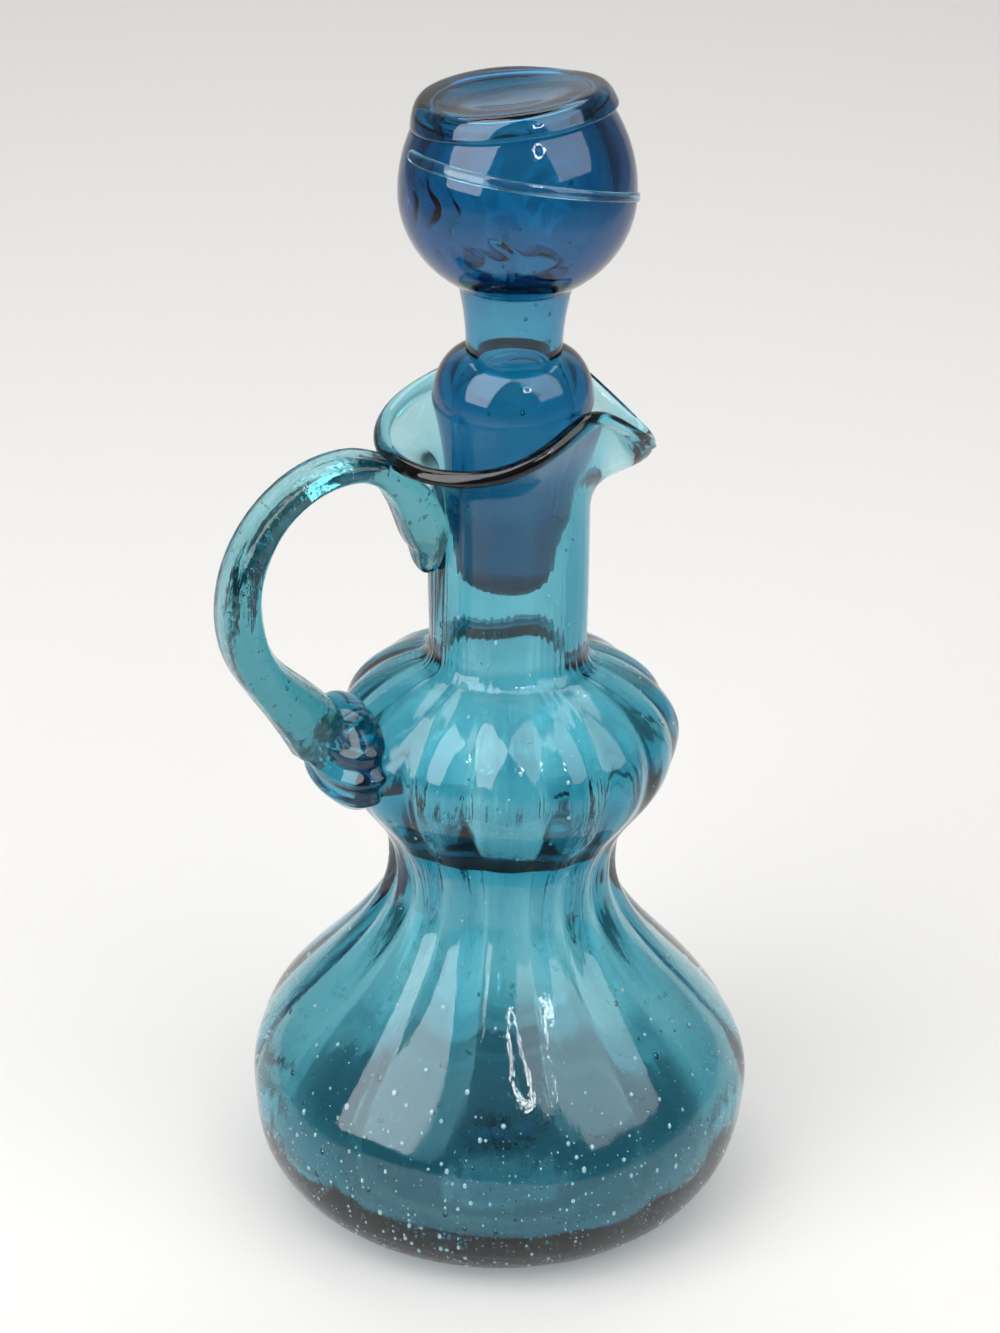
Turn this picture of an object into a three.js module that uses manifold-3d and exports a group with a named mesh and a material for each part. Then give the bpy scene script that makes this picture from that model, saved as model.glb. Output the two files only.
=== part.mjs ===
// A hand blown glass bottle: a fluted double bulb with a pinched pouring lip,
// an applied strap handle, and a hollow stopper whose knob carries a flattened
// bit of glass and a thread trailed from it.
//
// Millimetres, +Z up. The origin is the middle of the flat foot. The handle is
// on -X and the pouring lip on +X.

import * as THREE from 'three';
import { mergeVertices } from 'three/addons/utils/BufferGeometryUtils.js';
import Module from 'manifold-3d';

const wasm = await Module();
wasm.setup();

// Bottle, from the foot upwards
const FOOT_RADIUS = 34;
const HEEL_FLAT = 12;
const HEEL_RISE = 16;
const LOWER_BULB_RADIUS = 52.3;
const LOWER_BULB_HEIGHT = 24;
const LOWER_BULB_SHOULDER = 17;
const WAIST_RADIUS = 22.4;
const WAIST_RISE = 49.5;
const WAIST_RUN_BELOW = 18;
const WAIST_RUN_ABOVE = 13.5;
const UPPER_BULB_RADIUS = 34;
const UPPER_BULB_RISE = 28.5;
const UPPER_BULB_BELLY = 12.3;
const UPPER_BULB_CROWN = 19.5;
const CROWN_FILLET = 2.4;
const NECK_RADIUS = 15.6;
const NECK_LENGTH = 33;
const FLARE_RISE = 16.8;
const LIP_RADIUS = 21.8;
const LIP_SLANT = 48;
const LIP_RUN = 6.7;
const LIP_OFFSET = 4.4;
const LIP_CURL = 5;
const LIP_LEAN = 6;
const LIP_TIP = 11;

// Walls of the bottle
const FLOOR_THICKNESS = 6;
const LOWER_WALL = 3.4;
const WAIST_WALL = 4.2;
const UPPER_WALL = 3;
const NECK_WALL = 2.8;
const LIP_WALL = 2.7;

// Flutes round both bulbs
const FLUTES = 16;
const FLUTE_DEPTH = 0.8;
const FLUTE_FADE = 9;

// Pouring spout: pulled out and down, with the lip pinched up on both sides
const SPOUT_BEARING = -6;
const SPOUT_REACH = 10.6;
const SPOUT_DROP = 11.3;
const SPOUT_HALF_ANGLE = 26;
const PINCH_LIFT = 4.2;
const PINCH_BEARING = 52;
const PINCH_HALF_ANGLE = 35;

// Handle: a strap from a crimped foot on the upper bulb to a tail on the neck
const HANDLE_REACH = 55.4;
const HANDLE_BEND_HEIGHT = 36;
const HANDLE_CROWN_REACH = 33;
const HANDLE_DROP_FROM_LIP = 4.6;
const HANDLE_ROOT_RISE = 3;
const HANDLE_ROOT_REACH = 45;
const HANDLE_ROOT_RUN = 15;
const HANDLE_BEND_RUN = 16;
const TAIL_CROWN_RUN = 7;
const TAIL_BEND_LEAN = 2.6;
const TAIL_BEND_RUN = 11;
const TAIL_DROP = 18;
const TAIL_LENGTH = 24.5;
const TAIL_STAND = 1.4;
const STRAP_SHARES = { root: 0, low: 0.22, high: 0.6, bend: 0.72, tail: 0.9, tip: 1 };
const STRAP_WIDTHS = { root: 16, low: 14, high: 10.5, tail: 11.5, tip: 5 };
const STRAP_THICKNESSES = { root: 15, low: 9.2, high: 5.4, tail: 9.6, tip: 5 };
const PAD_HALF_WIDTH = 15;
const PAD_HALF_HEIGHT = 11;
const PAD_RISE = 2.2;
const PAD_STAND = 6.2;
const PAD_CRIMPS = 4;
const PAD_CRIMP_DEPTH = 0.9;

// Stopper, from the seat at the top of the neck
const SEAT_GAP = 0.3;
const PLUG_DEPTH = 18;
const PLUG_TIP_RADIUS = 9.4;
const PLUG_TIP_ROUND = 7;
const SHOULDER_RADIUS = 15.4;
const SHOULDER_RISE = 21;
const SHOULDER_DOME = 10;
const SHOULDER_ROUND = 6;
const STOPPER_NECK_RADIUS = 9.1;
const STOPPER_NECK_FLARE = 1.7;
const STOPPER_NECK_LENGTH = 13;
const KNOB_RADIUS = 22;
const KNOB_LOWER_HALF = 19.9;
const KNOB_UPPER_HALF = 25;
const KNOB_MOUTH_RADIUS = 8;
const KNOB_MOUTH_RISE = 0.9;
const STOPPER_WALL = 2.3;

// Flattened bit on top of the knob, and the thread trailed from it
const CAP_RADIUS = 19;
const CAP_THICKNESS = 2.8;
const CAP_ROUND = 1.5;
const CAP_SKIRT = 3;
const CAP_SKIRT_TAPER = 1.2;
const CAP_SHIFT = 1.1;
const CAP_DIMPLE = 0.8;
const CAP_DIMPLE_RADIUS = 13;
const CAP_TILT = 7;
const CAP_SEAT_RADIUS = 17.6;
const TRAIL_RADIUS = 1.1;
const TRAIL_TIP_RADIUS = 0.6;
const TRAIL_START_BEARING = 175;
const TRAIL_TURNS = 0.55;
const TRAIL_TOP = 8.5;
const TRAIL_BOTTOM = -5.4;

// Gap left between pieces that were fused hot
const JOIN_GAP = 0.3;

// Facets
const BOTTLE_SEGMENTS = FLUTES * 4;
const STOPPER_SEGMENTS = 32;
const STRAP_SIDES = 12;
const STRAP_STEPS = 32;
const TRAIL_SIDES = 6;
const TRAIL_STEPS = 32;
const OUTER_STEPS = 5;
const INNER_STEPS = 3;
const PAD_SIDES = 18;
const PAD_LEVELS = 24;
const LIP_BEAD_TURNS = [-45, 0, 45];
const MERGE_DISTANCE = 1e-4;

const FULL_TURN = 360;
const radians = THREE.MathUtils.degToRad;

// Heights that follow from the sizes above
const waistZ = LOWER_BULB_HEIGHT + WAIST_RISE;
const upperBulbZ = waistZ + UPPER_BULB_RISE;
const crownAngle = Math.acos((NECK_RADIUS + CROWN_FILLET) / UPPER_BULB_RADIUS);
const crownZ = upperBulbZ + UPPER_BULB_CROWN * Math.sin(crownAngle);
const neckTopZ = crownZ + NECK_LENGTH;
const lipZ = neckTopZ + FLARE_RISE;
const plugSeatRadius = NECK_RADIUS - NECK_WALL - SEAT_GAP;
const shoulderZ = SHOULDER_RISE;
const creaseZ = shoulderZ + SHOULDER_DOME;
const knobNeckRadius = STOPPER_NECK_RADIUS + STOPPER_NECK_FLARE;
const knobLowAngle = -Math.acos(knobNeckRadius / KNOB_RADIUS);
const knobZ = creaseZ + STOPPER_NECK_LENGTH - KNOB_LOWER_HALF * Math.sin(knobLowAngle);
const knobTopAngle = Math.acos(CAP_SEAT_RADIUS / KNOB_RADIUS);
const knobTopZ = knobZ + KNOB_UPPER_HALF * Math.sin(knobTopAngle);

// Solids: merged triangles out, faces pointing out

function mergedGeometry(geometry) {
  const bare = geometry.clone();
  bare.deleteAttribute('normal');
  bare.deleteAttribute('uv');
  const merged = mergeVertices(bare, MERGE_DISTANCE);
  const index = merged.index.array;
  const kept = [];
  for (let i = 0; i < index.length; i += 3) {
    const [a, b, c] = [index[i], index[i + 1], index[i + 2]];
    if (a !== b && b !== c && c !== a) kept.push(a, b, c);
  }
  merged.setIndex(kept);
  return signedVolume(merged) < 0 ? flipped(merged) : merged;
}

function signedVolume(geometry) {
  const position = geometry.attributes.position;
  const index = geometry.index.array;
  const corners = [new THREE.Vector3(), new THREE.Vector3(), new THREE.Vector3()];
  let sum = 0;
  for (let i = 0; i < index.length; i += 3) {
    corners.forEach((corner, k) => corner.fromBufferAttribute(position, index[i + k]));
    sum += corners[0].dot(corners[1].clone().cross(corners[2]));
  }
  return sum / 6;
}

function flipped(geometry) {
  const index = Array.from(geometry.index.array);
  for (let i = 0; i < index.length; i += 3) {
    [index[i + 1], index[i + 2]] = [index[i + 2], index[i + 1]];
  }
  geometry.setIndex(index);
  return geometry;
}

function toSolid(geometry) {
  const merged = mergedGeometry(geometry);
  const vertProperties = new Float32Array(merged.attributes.position.array);
  const triVerts = new Uint32Array(merged.index.array);
  return new wasm.Manifold(new wasm.Mesh({ numProp: 3, vertProperties, triVerts }));
}

function toGeometry(solid) {
  const mesh = solid.getMesh();
  const geometry = new THREE.BufferGeometry();
  geometry.setAttribute('position', new THREE.BufferAttribute(new Float32Array(mesh.vertProperties), 3));
  geometry.setIndex(Array.from(mesh.triVerts));
  return geometry;
}

// A profile of (radius, height) points turned about Z; shape moves each point
function turned(points, segments, shape) {
  const geometry = new THREE.LatheGeometry(points, segments);
  geometry.rotateX(Math.PI / 2);
  if (shape) {
    const position = geometry.attributes.position;
    const point = new THREE.Vector3();
    for (let i = 0; i < position.count; i += 1) {
      point.fromBufferAttribute(position, i);
      shape(point);
      position.setXYZ(i, point.x, point.y, point.z);
    }
  }
  return mergedGeometry(geometry);
}

// Points of a profile: one step along a straight stretch, several along a curve
function sampled(path, steps) {
  const stretches = path.curves.map((curve) => curve.getPoints(curve.isLineCurve ? 1 : steps).slice(1));
  return [path.curves[0].getPoint(0), ...stretches.flat()];
}

// Rings of equally many points joined into a closed skin with flat ends
function loft(rings) {
  const sides = rings[0].length;
  const points = rings.flat();
  const index = [];
  for (let ring = 0; ring + 1 < rings.length; ring += 1) {
    for (let side = 0; side < sides; side += 1) {
      const next = (side + 1) % sides;
      const a = ring * sides + side;
      const b = ring * sides + next;
      index.push(a, b, b + sides, a, b + sides, a + sides);
    }
  }
  const last = (rings.length - 1) * sides;
  for (let side = 1; side + 1 < sides; side += 1) {
    index.push(0, side + 1, side);
    index.push(last, last + side, last + side + 1);
  }
  const geometry = new THREE.BufferGeometry().setFromPoints(points);
  geometry.setIndex(index);
  return mergedGeometry(geometry);
}

// Bottle wall, set in from the outer skin by the given thicknesses

const OUTER_SKIN = { floor: 0, lower: 0, waist: 0, upper: 0, neck: 0, lip: 0 };
const INNER_SKIN = {
  floor: FLOOR_THICKNESS,
  lower: LOWER_WALL,
  waist: WAIST_WALL,
  upper: UPPER_WALL,
  neck: NECK_WALL,
  lip: LIP_WALL,
};

function bottlePath(inset) {
  const lower = LOWER_BULB_RADIUS - inset.lower;
  const waist = WAIST_RADIUS - inset.waist;
  const upper = UPPER_BULB_RADIUS - inset.upper;
  const neck = NECK_RADIUS - inset.neck;
  const slant = radians(LIP_SLANT);
  const lipRadius = LIP_RADIUS - inset.lip * Math.sin(slant);
  const lipHeight = lipZ + inset.lip * Math.cos(slant);
  const path = new THREE.Path();
  path.moveTo(0, inset.floor);
  path.lineTo(FOOT_RADIUS - inset.lower, inset.floor);
  path.bezierCurveTo(
    FOOT_RADIUS + HEEL_FLAT - inset.lower, inset.floor,
    lower, LOWER_BULB_HEIGHT - HEEL_RISE + inset.floor / 2,
    lower, LOWER_BULB_HEIGHT,
  );
  path.bezierCurveTo(
    lower, LOWER_BULB_HEIGHT + LOWER_BULB_SHOULDER,
    waist, waistZ - WAIST_RUN_BELOW,
    waist, waistZ,
  );
  path.bezierCurveTo(
    waist, waistZ + WAIST_RUN_ABOVE,
    upper, upperBulbZ - UPPER_BULB_BELLY,
    upper, upperBulbZ,
  );
  const crown = UPPER_BULB_CROWN - inset.upper;
  const turn = Math.acos((neck + CROWN_FILLET) / upper);
  path.absellipse(0, upperBulbZ, upper, crown, 0, turn, false);
  const topOfCrown = upperBulbZ + crown * Math.sin(turn);
  path.quadraticCurveTo(neck, topOfCrown + CROWN_FILLET / 2, neck, topOfCrown + CROWN_FILLET * 2);
  path.lineTo(neck, neckTopZ);
  path.bezierCurveTo(
    neck, neckTopZ + FLARE_RISE / 2,
    lipRadius - LIP_RUN * Math.cos(slant), lipHeight - LIP_RUN * Math.sin(slant),
    lipRadius, lipHeight,
  );
  return path;
}

// Round bead that joins the outer and inner skins at the lip, grown by a gap
function lipBead(gap) {
  const slant = radians(LIP_SLANT);
  const middle = new THREE.Vector2(
    LIP_RADIUS - LIP_WALL / 2 * Math.sin(slant),
    lipZ + LIP_WALL / 2 * Math.cos(slant),
  );
  return LIP_BEAD_TURNS.map((degrees) => {
    const angle = slant + radians(degrees);
    const reach = new THREE.Vector2(Math.cos(angle), Math.sin(angle));
    return middle.clone().addScaledVector(reach, LIP_WALL / 2 + gap);
  });
}

function bump(angle, centre, halfAngle) {
  const away = THREE.MathUtils.euclideanModulo(angle - centre + FULL_TURN / 2, FULL_TURN) - FULL_TURN / 2;
  return Math.exp(-((away / halfAngle) ** 2));
}

// Flutes fade out towards the foot and at the neck
function fluteShare(z) {
  const { smoothstep } = THREE.MathUtils;
  const fromFoot = smoothstep(z, 0, LOWER_BULB_HEIGHT);
  const toNeck = 1 - smoothstep(z, crownZ - FLUTE_FADE, crownZ + FLUTE_FADE / 2);
  return fromFoot * toNeck;
}

// Flutes, pouring spout, pinches and the lean of the lip
function shapeBottle(point) {
  const radius = Math.hypot(point.x, point.y);
  if (radius < MERGE_DISTANCE) return;
  const angle = THREE.MathUtils.radToDeg(Math.atan2(point.y, point.x));
  const flute = FLUTE_DEPTH * fluteShare(point.z) * Math.cos(radians(angle * FLUTES));
  const rise = THREE.MathUtils.clamp((point.z - neckTopZ) / FLARE_RISE, 0, 1);
  const share = THREE.MathUtils.smoothstep(rise, 0, 1);
  const spout = bump(angle, SPOUT_BEARING, SPOUT_HALF_ANGLE);
  const pinch = [-PINCH_BEARING, PINCH_BEARING]
    .map((side) => bump(angle, SPOUT_BEARING + side, PINCH_HALF_ANGLE))
    .reduce((sum, part) => sum + part);
  const slope = point.x * Math.tan(radians(LIP_TIP)) + point.y * Math.tan(radians(LIP_LEAN));
  const lift = PINCH_LIFT * pinch - SPOUT_DROP * spout + slope;
  const scale = (radius + flute + SPOUT_REACH * spout * share) / radius;
  const slide = LIP_OFFSET * rise ** LIP_CURL;
  point.set(point.x * scale - slide, point.y * scale, point.z + lift * share);
}

function bottleBody() {
  const outer = sampled(bottlePath(OUTER_SKIN), OUTER_STEPS);
  const inner = sampled(bottlePath(INNER_SKIN), INNER_STEPS).reverse();
  return turned([...outer, ...lipBead(0), ...inner], BOTTLE_SEGMENTS, shapeBottle);
}

// The bottle's outside as one solid, grown by the join gap
function bottleClearance() {
  const grown = Object.fromEntries(Object.keys(OUTER_SKIN).map((key) => [key, -JOIN_GAP]));
  const outer = [...sampled(bottlePath(grown), OUTER_STEPS), ...lipBead(JOIN_GAP)];
  const top = new THREE.Vector2(0, outer[outer.length - 1].y);
  return toSolid(turned([...outer, top], BOTTLE_SEGMENTS, shapeBottle));
}

// Handle

// Centre line in the X-Z plane, as distance from the axis and height
function strapPath() {
  const topZ = lipZ - HANDLE_DROP_FROM_LIP;
  const bendZ = upperBulbZ + HANDLE_BEND_HEIGHT;
  const rootZ = upperBulbZ + HANDLE_ROOT_RISE;
  const tailReach = NECK_RADIUS + TAIL_STAND;
  const path = new THREE.Path();
  path.moveTo(UPPER_BULB_RADIUS + PAD_STAND / 2, rootZ);
  path.bezierCurveTo(
    HANDLE_ROOT_REACH, rootZ + HANDLE_ROOT_RUN,
    HANDLE_REACH, bendZ - HANDLE_BEND_RUN,
    HANDLE_REACH, bendZ,
  );
  path.absellipse(
    HANDLE_CROWN_REACH, bendZ,
    HANDLE_REACH - HANDLE_CROWN_REACH, topZ - bendZ,
    0, Math.PI / 2, false,
  );
  path.bezierCurveTo(
    HANDLE_CROWN_REACH - TAIL_CROWN_RUN, topZ,
    tailReach + TAIL_BEND_LEAN, topZ - TAIL_DROP + TAIL_BEND_RUN,
    tailReach, topZ - TAIL_DROP,
  );
  path.lineTo(tailReach, topZ - TAIL_LENGTH);
  return path;
}

// Width and thickness of the strap at a share of its length
function strapSection(share) {
  const { lerp, smoothstep } = THREE.MathUtils;
  const at = (sizes) => {
    const lower = lerp(sizes.root, sizes.low, smoothstep(share, STRAP_SHARES.root, STRAP_SHARES.low));
    const upper = lerp(lower, sizes.high, smoothstep(share, STRAP_SHARES.low, STRAP_SHARES.high));
    const tail = lerp(upper, sizes.tail, smoothstep(share, STRAP_SHARES.bend, STRAP_SHARES.tail));
    return lerp(tail, sizes.tip, smoothstep(share, STRAP_SHARES.tail, STRAP_SHARES.tip));
  };
  return { width: at(STRAP_WIDTHS), thickness: at(STRAP_THICKNESSES) };
}

function strapSkin() {
  const path = strapPath();
  const rings = [];
  for (let step = 0; step <= STRAP_STEPS; step += 1) {
    const share = step / STRAP_STEPS;
    const centre = path.getPointAt(share);
    const along = path.getTangentAt(share);
    const { width, thickness } = strapSection(share);
    const ring = [];
    for (let side = 0; side < STRAP_SIDES; side += 1) {
      const angle = (side / STRAP_SIDES) * Math.PI * 2;
      const across = (thickness / 2) * Math.cos(angle);
      const reach = centre.x - across * along.y;
      const height = centre.y + across * along.x;
      ring.push(new THREE.Vector3(-reach, (width / 2) * Math.sin(angle), height));
    }
    rings.push(ring);
  }
  return loft(rings);
}

// Crimped pad of glass that holds the strap's lower end on the upper bulb
function padSkin(gap) {
  const geometry = new THREE.SphereGeometry(1, PAD_SIDES, PAD_LEVELS);
  geometry.rotateX(Math.PI / 2);
  const position = geometry.attributes.position;
  for (let i = 0; i < position.count; i += 1) {
    const height = position.getZ(i);
    const level = Math.sqrt(Math.max(0, 1 - height * height));
    const crimp = PAD_CRIMP_DEPTH * level * Math.cos(Math.PI * PAD_CRIMPS * height);
    const scaleX = PAD_STAND + gap + crimp;
    const scaleY = PAD_HALF_WIDTH + gap + crimp;
    const x = -UPPER_BULB_RADIUS + position.getX(i) * scaleX;
    const z = upperBulbZ + PAD_RISE + height * (PAD_HALF_HEIGHT + gap);
    position.setXYZ(i, x, position.getY(i) * scaleY, z);
  }
  return geometry;
}

function handlePieces(bottle) {
  const pad = toSolid(padSkin(0)).subtract(bottle);
  const strap = toSolid(strapSkin()).subtract(bottle).subtract(toSolid(padSkin(JOIN_GAP)));
  return { pad: toGeometry(pad), strap: toGeometry(strap) };
}

// Stopper, with heights counted from its seat

function stopperPath(inset) {
  const tip = PLUG_TIP_RADIUS - inset;
  const knob = KNOB_RADIUS - inset;
  const neck = STOPPER_NECK_RADIUS - inset;
  const shoulder = SHOULDER_RADIUS - inset;
  const path = new THREE.Path();
  path.moveTo(0, -PLUG_DEPTH + inset);
  path.absellipse(0, PLUG_TIP_ROUND - PLUG_DEPTH, tip, PLUG_TIP_ROUND - inset, -Math.PI / 2, 0, false);
  path.lineTo(plugSeatRadius - inset, 0);
  path.quadraticCurveTo(plugSeatRadius - inset, shoulderZ / 2, shoulder, shoulderZ);
  path.bezierCurveTo(
    shoulder, shoulderZ + SHOULDER_ROUND,
    neck + (shoulder - neck) / 2, creaseZ - inset,
    neck, creaseZ - inset,
  );
  path.quadraticCurveTo(
    neck, creaseZ + STOPPER_NECK_LENGTH / 2,
    knobNeckRadius - inset, creaseZ + STOPPER_NECK_LENGTH,
  );
  const low = -Math.acos((knobNeckRadius - inset) / knob);
  const high = Math.acos((CAP_SEAT_RADIUS - inset) / knob);
  path.absellipse(0, knobZ, knob, KNOB_LOWER_HALF - inset, low, 0, false);
  path.absellipse(0, knobZ, knob, KNOB_UPPER_HALF - inset, 0, high, false);
  path.quadraticCurveTo(
    (CAP_SEAT_RADIUS + KNOB_MOUTH_RADIUS) / 2, knobTopZ + KNOB_MOUTH_RISE - inset,
    KNOB_MOUTH_RADIUS, knobTopZ + KNOB_MOUTH_RISE - inset,
  );
  return path;
}

function stopperBubble() {
  const outer = sampled(stopperPath(0), OUTER_STEPS);
  const inner = sampled(stopperPath(STOPPER_WALL), INNER_STEPS).reverse();
  return turned([...outer, ...inner], STOPPER_SEGMENTS);
}

// The stopper's outside as one solid, grown by the join gap
function stopperClearance() {
  const outer = sampled(stopperPath(-JOIN_GAP), OUTER_STEPS);
  const top = new THREE.Vector2(0, outer[outer.length - 1].y);
  return toSolid(turned([...outer, top], STOPPER_SEGMENTS));
}

// Flattened bit: a round edged disc with a shallow dimple, tilted on the knob,
// and a skirt of glass that runs down onto the knob
function capSkin(gap) {
  const top = CAP_THICKNESS / 2 + gap;
  const edge = CAP_RADIUS + gap;
  const foot = -top - CAP_SKIRT;
  const path = new THREE.Path();
  path.moveTo(0, foot);
  path.lineTo(edge - CAP_SKIRT_TAPER, foot);
  path.lineTo(edge, 0);
  path.absellipse(edge - CAP_ROUND, 0, CAP_ROUND, top, 0, Math.PI / 2, false);
  path.bezierCurveTo(
    CAP_DIMPLE_RADIUS, top,
    CAP_DIMPLE_RADIUS / 2, top - CAP_DIMPLE,
    0, top - CAP_DIMPLE,
  );
  const geometry = turned(sampled(path, OUTER_STEPS), STOPPER_SEGMENTS);
  geometry.rotateY(radians(-CAP_TILT));
  geometry.translate(-CAP_SHIFT, 0, knobTopZ + CAP_THICKNESS / 2);
  return geometry;
}

// Outside radius of the knob at a height above its widest ring
function knobRadiusAt(height) {
  const half = height > 0 ? KNOB_UPPER_HALF : KNOB_LOWER_HALF;
  return KNOB_RADIUS * Math.sqrt(1 - (height / half) ** 2);
}

// Thread wound down the knob from the bit, thinning to its end
function trailSkin() {
  const turns = radians(TRAIL_TURNS * FULL_TURN);
  const centres = [];
  for (let step = 0; step <= TRAIL_STEPS; step += 1) {
    const share = step / TRAIL_STEPS;
    const angle = radians(TRAIL_START_BEARING) + turns * share;
    const height = THREE.MathUtils.lerp(TRAIL_TOP, TRAIL_BOTTOM, share * share);
    const radius = knobRadiusAt(height);
    centres.push(new THREE.Vector3(radius * Math.cos(angle), radius * Math.sin(angle), knobZ + height));
  }
  const curve = new THREE.CatmullRomCurve3(centres);
  const rings = centres.map((centre, step) => {
    const share = step / TRAIL_STEPS;
    const along = curve.getTangent(share);
    const out = new THREE.Vector3(centre.x, centre.y, centre.z - knobZ).normalize();
    const side = along.clone().cross(out).normalize();
    const size = THREE.MathUtils.lerp(TRAIL_RADIUS, TRAIL_TIP_RADIUS, share);
    const ring = [];
    for (let corner = 0; corner < TRAIL_SIDES; corner += 1) {
      const angle = (corner / TRAIL_SIDES) * Math.PI * 2;
      const point = centre.clone().addScaledVector(side, size * Math.cos(angle));
      ring.push(point.addScaledVector(out, JOIN_GAP + size * Math.sin(angle)));
    }
    return ring;
  });
  return loft(rings);
}

function stopperTrim() {
  const knob = stopperClearance();
  const cap = toSolid(capSkin(0)).subtract(knob);
  const trail = toSolid(trailSkin()).subtract(knob).subtract(toSolid(capSkin(JOIN_GAP)));
  return { cap: toGeometry(cap), trail: toGeometry(trail) };
}

// Assembly

function glass(color, roughness) {
  return new THREE.MeshStandardMaterial({ color, roughness, metalness: 0 });
}

function piece(name, geometry, material) {
  geometry.computeVertexNormals();
  const mesh = new THREE.Mesh(geometry, material);
  mesh.name = name;
  return mesh;
}

const bottleGroup = new THREE.Group();
const handle = handlePieces(bottleClearance());
bottleGroup.add(
  piece('bottle_body', bottleBody(), glass(0x3c96aa, 0.06)),
  piece('handle_strap', handle.strap, glass(0x4fa3ad, 0.07)),
  piece('handle_pad', handle.pad, glass(0x2f7f97, 0.08)),
);

const stopperGroup = new THREE.Group();
stopperGroup.position.z = neckTopZ;
const trim = stopperTrim();
stopperGroup.add(
  piece('stopper_bubble', stopperBubble(), glass(0x0a5591, 0.07)),
  piece('stopper_cap', trim.cap, glass(0x2a5f8c, 0.08)),
  piece('stopper_trail', trim.trail, glass(0x1a6aa0, 0.08)),
);

const genieBottle = new THREE.Group();
genieBottle.add(bottleGroup, stopperGroup);

export default genieBottle;
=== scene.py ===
"""Looks of a hand-blown glass bottle with a strap handle and a hollow ball stopper.

Metres, +Z up, the foot on the origin, the handle on -X and the spout on +X.
Three operators make the glass pieces, and a fourth sets the stage.
"""

import math
from types import SimpleNamespace

import bmesh
import bpy
import numpy as np
from bpy.props import FloatProperty, FloatVectorProperty, IntProperty, PointerProperty
from mathutils import Matrix, Vector


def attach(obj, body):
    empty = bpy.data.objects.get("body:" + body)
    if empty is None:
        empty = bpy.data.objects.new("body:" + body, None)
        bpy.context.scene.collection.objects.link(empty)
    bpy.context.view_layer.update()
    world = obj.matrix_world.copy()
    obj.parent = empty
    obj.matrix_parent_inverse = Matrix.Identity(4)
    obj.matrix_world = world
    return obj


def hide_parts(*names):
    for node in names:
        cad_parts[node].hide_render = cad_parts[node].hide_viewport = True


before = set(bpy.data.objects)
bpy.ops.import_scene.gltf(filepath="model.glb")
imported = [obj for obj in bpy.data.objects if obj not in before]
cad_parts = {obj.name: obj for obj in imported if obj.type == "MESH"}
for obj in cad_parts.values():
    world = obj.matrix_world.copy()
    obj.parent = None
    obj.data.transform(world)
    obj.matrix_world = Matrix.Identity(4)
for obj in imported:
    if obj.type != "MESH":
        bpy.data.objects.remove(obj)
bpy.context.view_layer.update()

bl_info = {
    "name": "Genie Bottle",
    "version": (1, 0, 0),
    "blender": (4, 5, 0),
    "location": "3D View > Sidebar > Genie Bottle",
    "description": "Makes a hand-blown glass bottle with a strap handle and a ball stopper",
    "category": "Add Mesh",
}

MM = 0.001
FULL_TURN = 2 * math.pi


# Properties


def length(name, millimetres, description):
    default = millimetres * MM
    return FloatProperty(name=name, description=description, default=default, unit="LENGTH", precision=4)


def stations(name, millimetres, description):
    default = [value * MM for value in millimetres]
    return FloatVectorProperty(
        name=name,
        description=description,
        default=default,
        size=len(default),
        unit="LENGTH",
    )


def turn(name, degrees, description):
    return FloatProperty(
        name=name,
        description=description,
        default=math.radians(degrees),
        subtype="ANGLE",
        unit="ROTATION",
    )


def number(name, default, description):
    return FloatProperty(name=name, description=description, default=default)


def count(name, default, description):
    return IntProperty(name=name, description=description, default=default, min=1)


def colour(name, default, description):
    return FloatVectorProperty(
        name=name,
        description=description,
        default=default,
        size=3,
        subtype="COLOR",
        min=0,
        max=1,
    )


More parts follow.
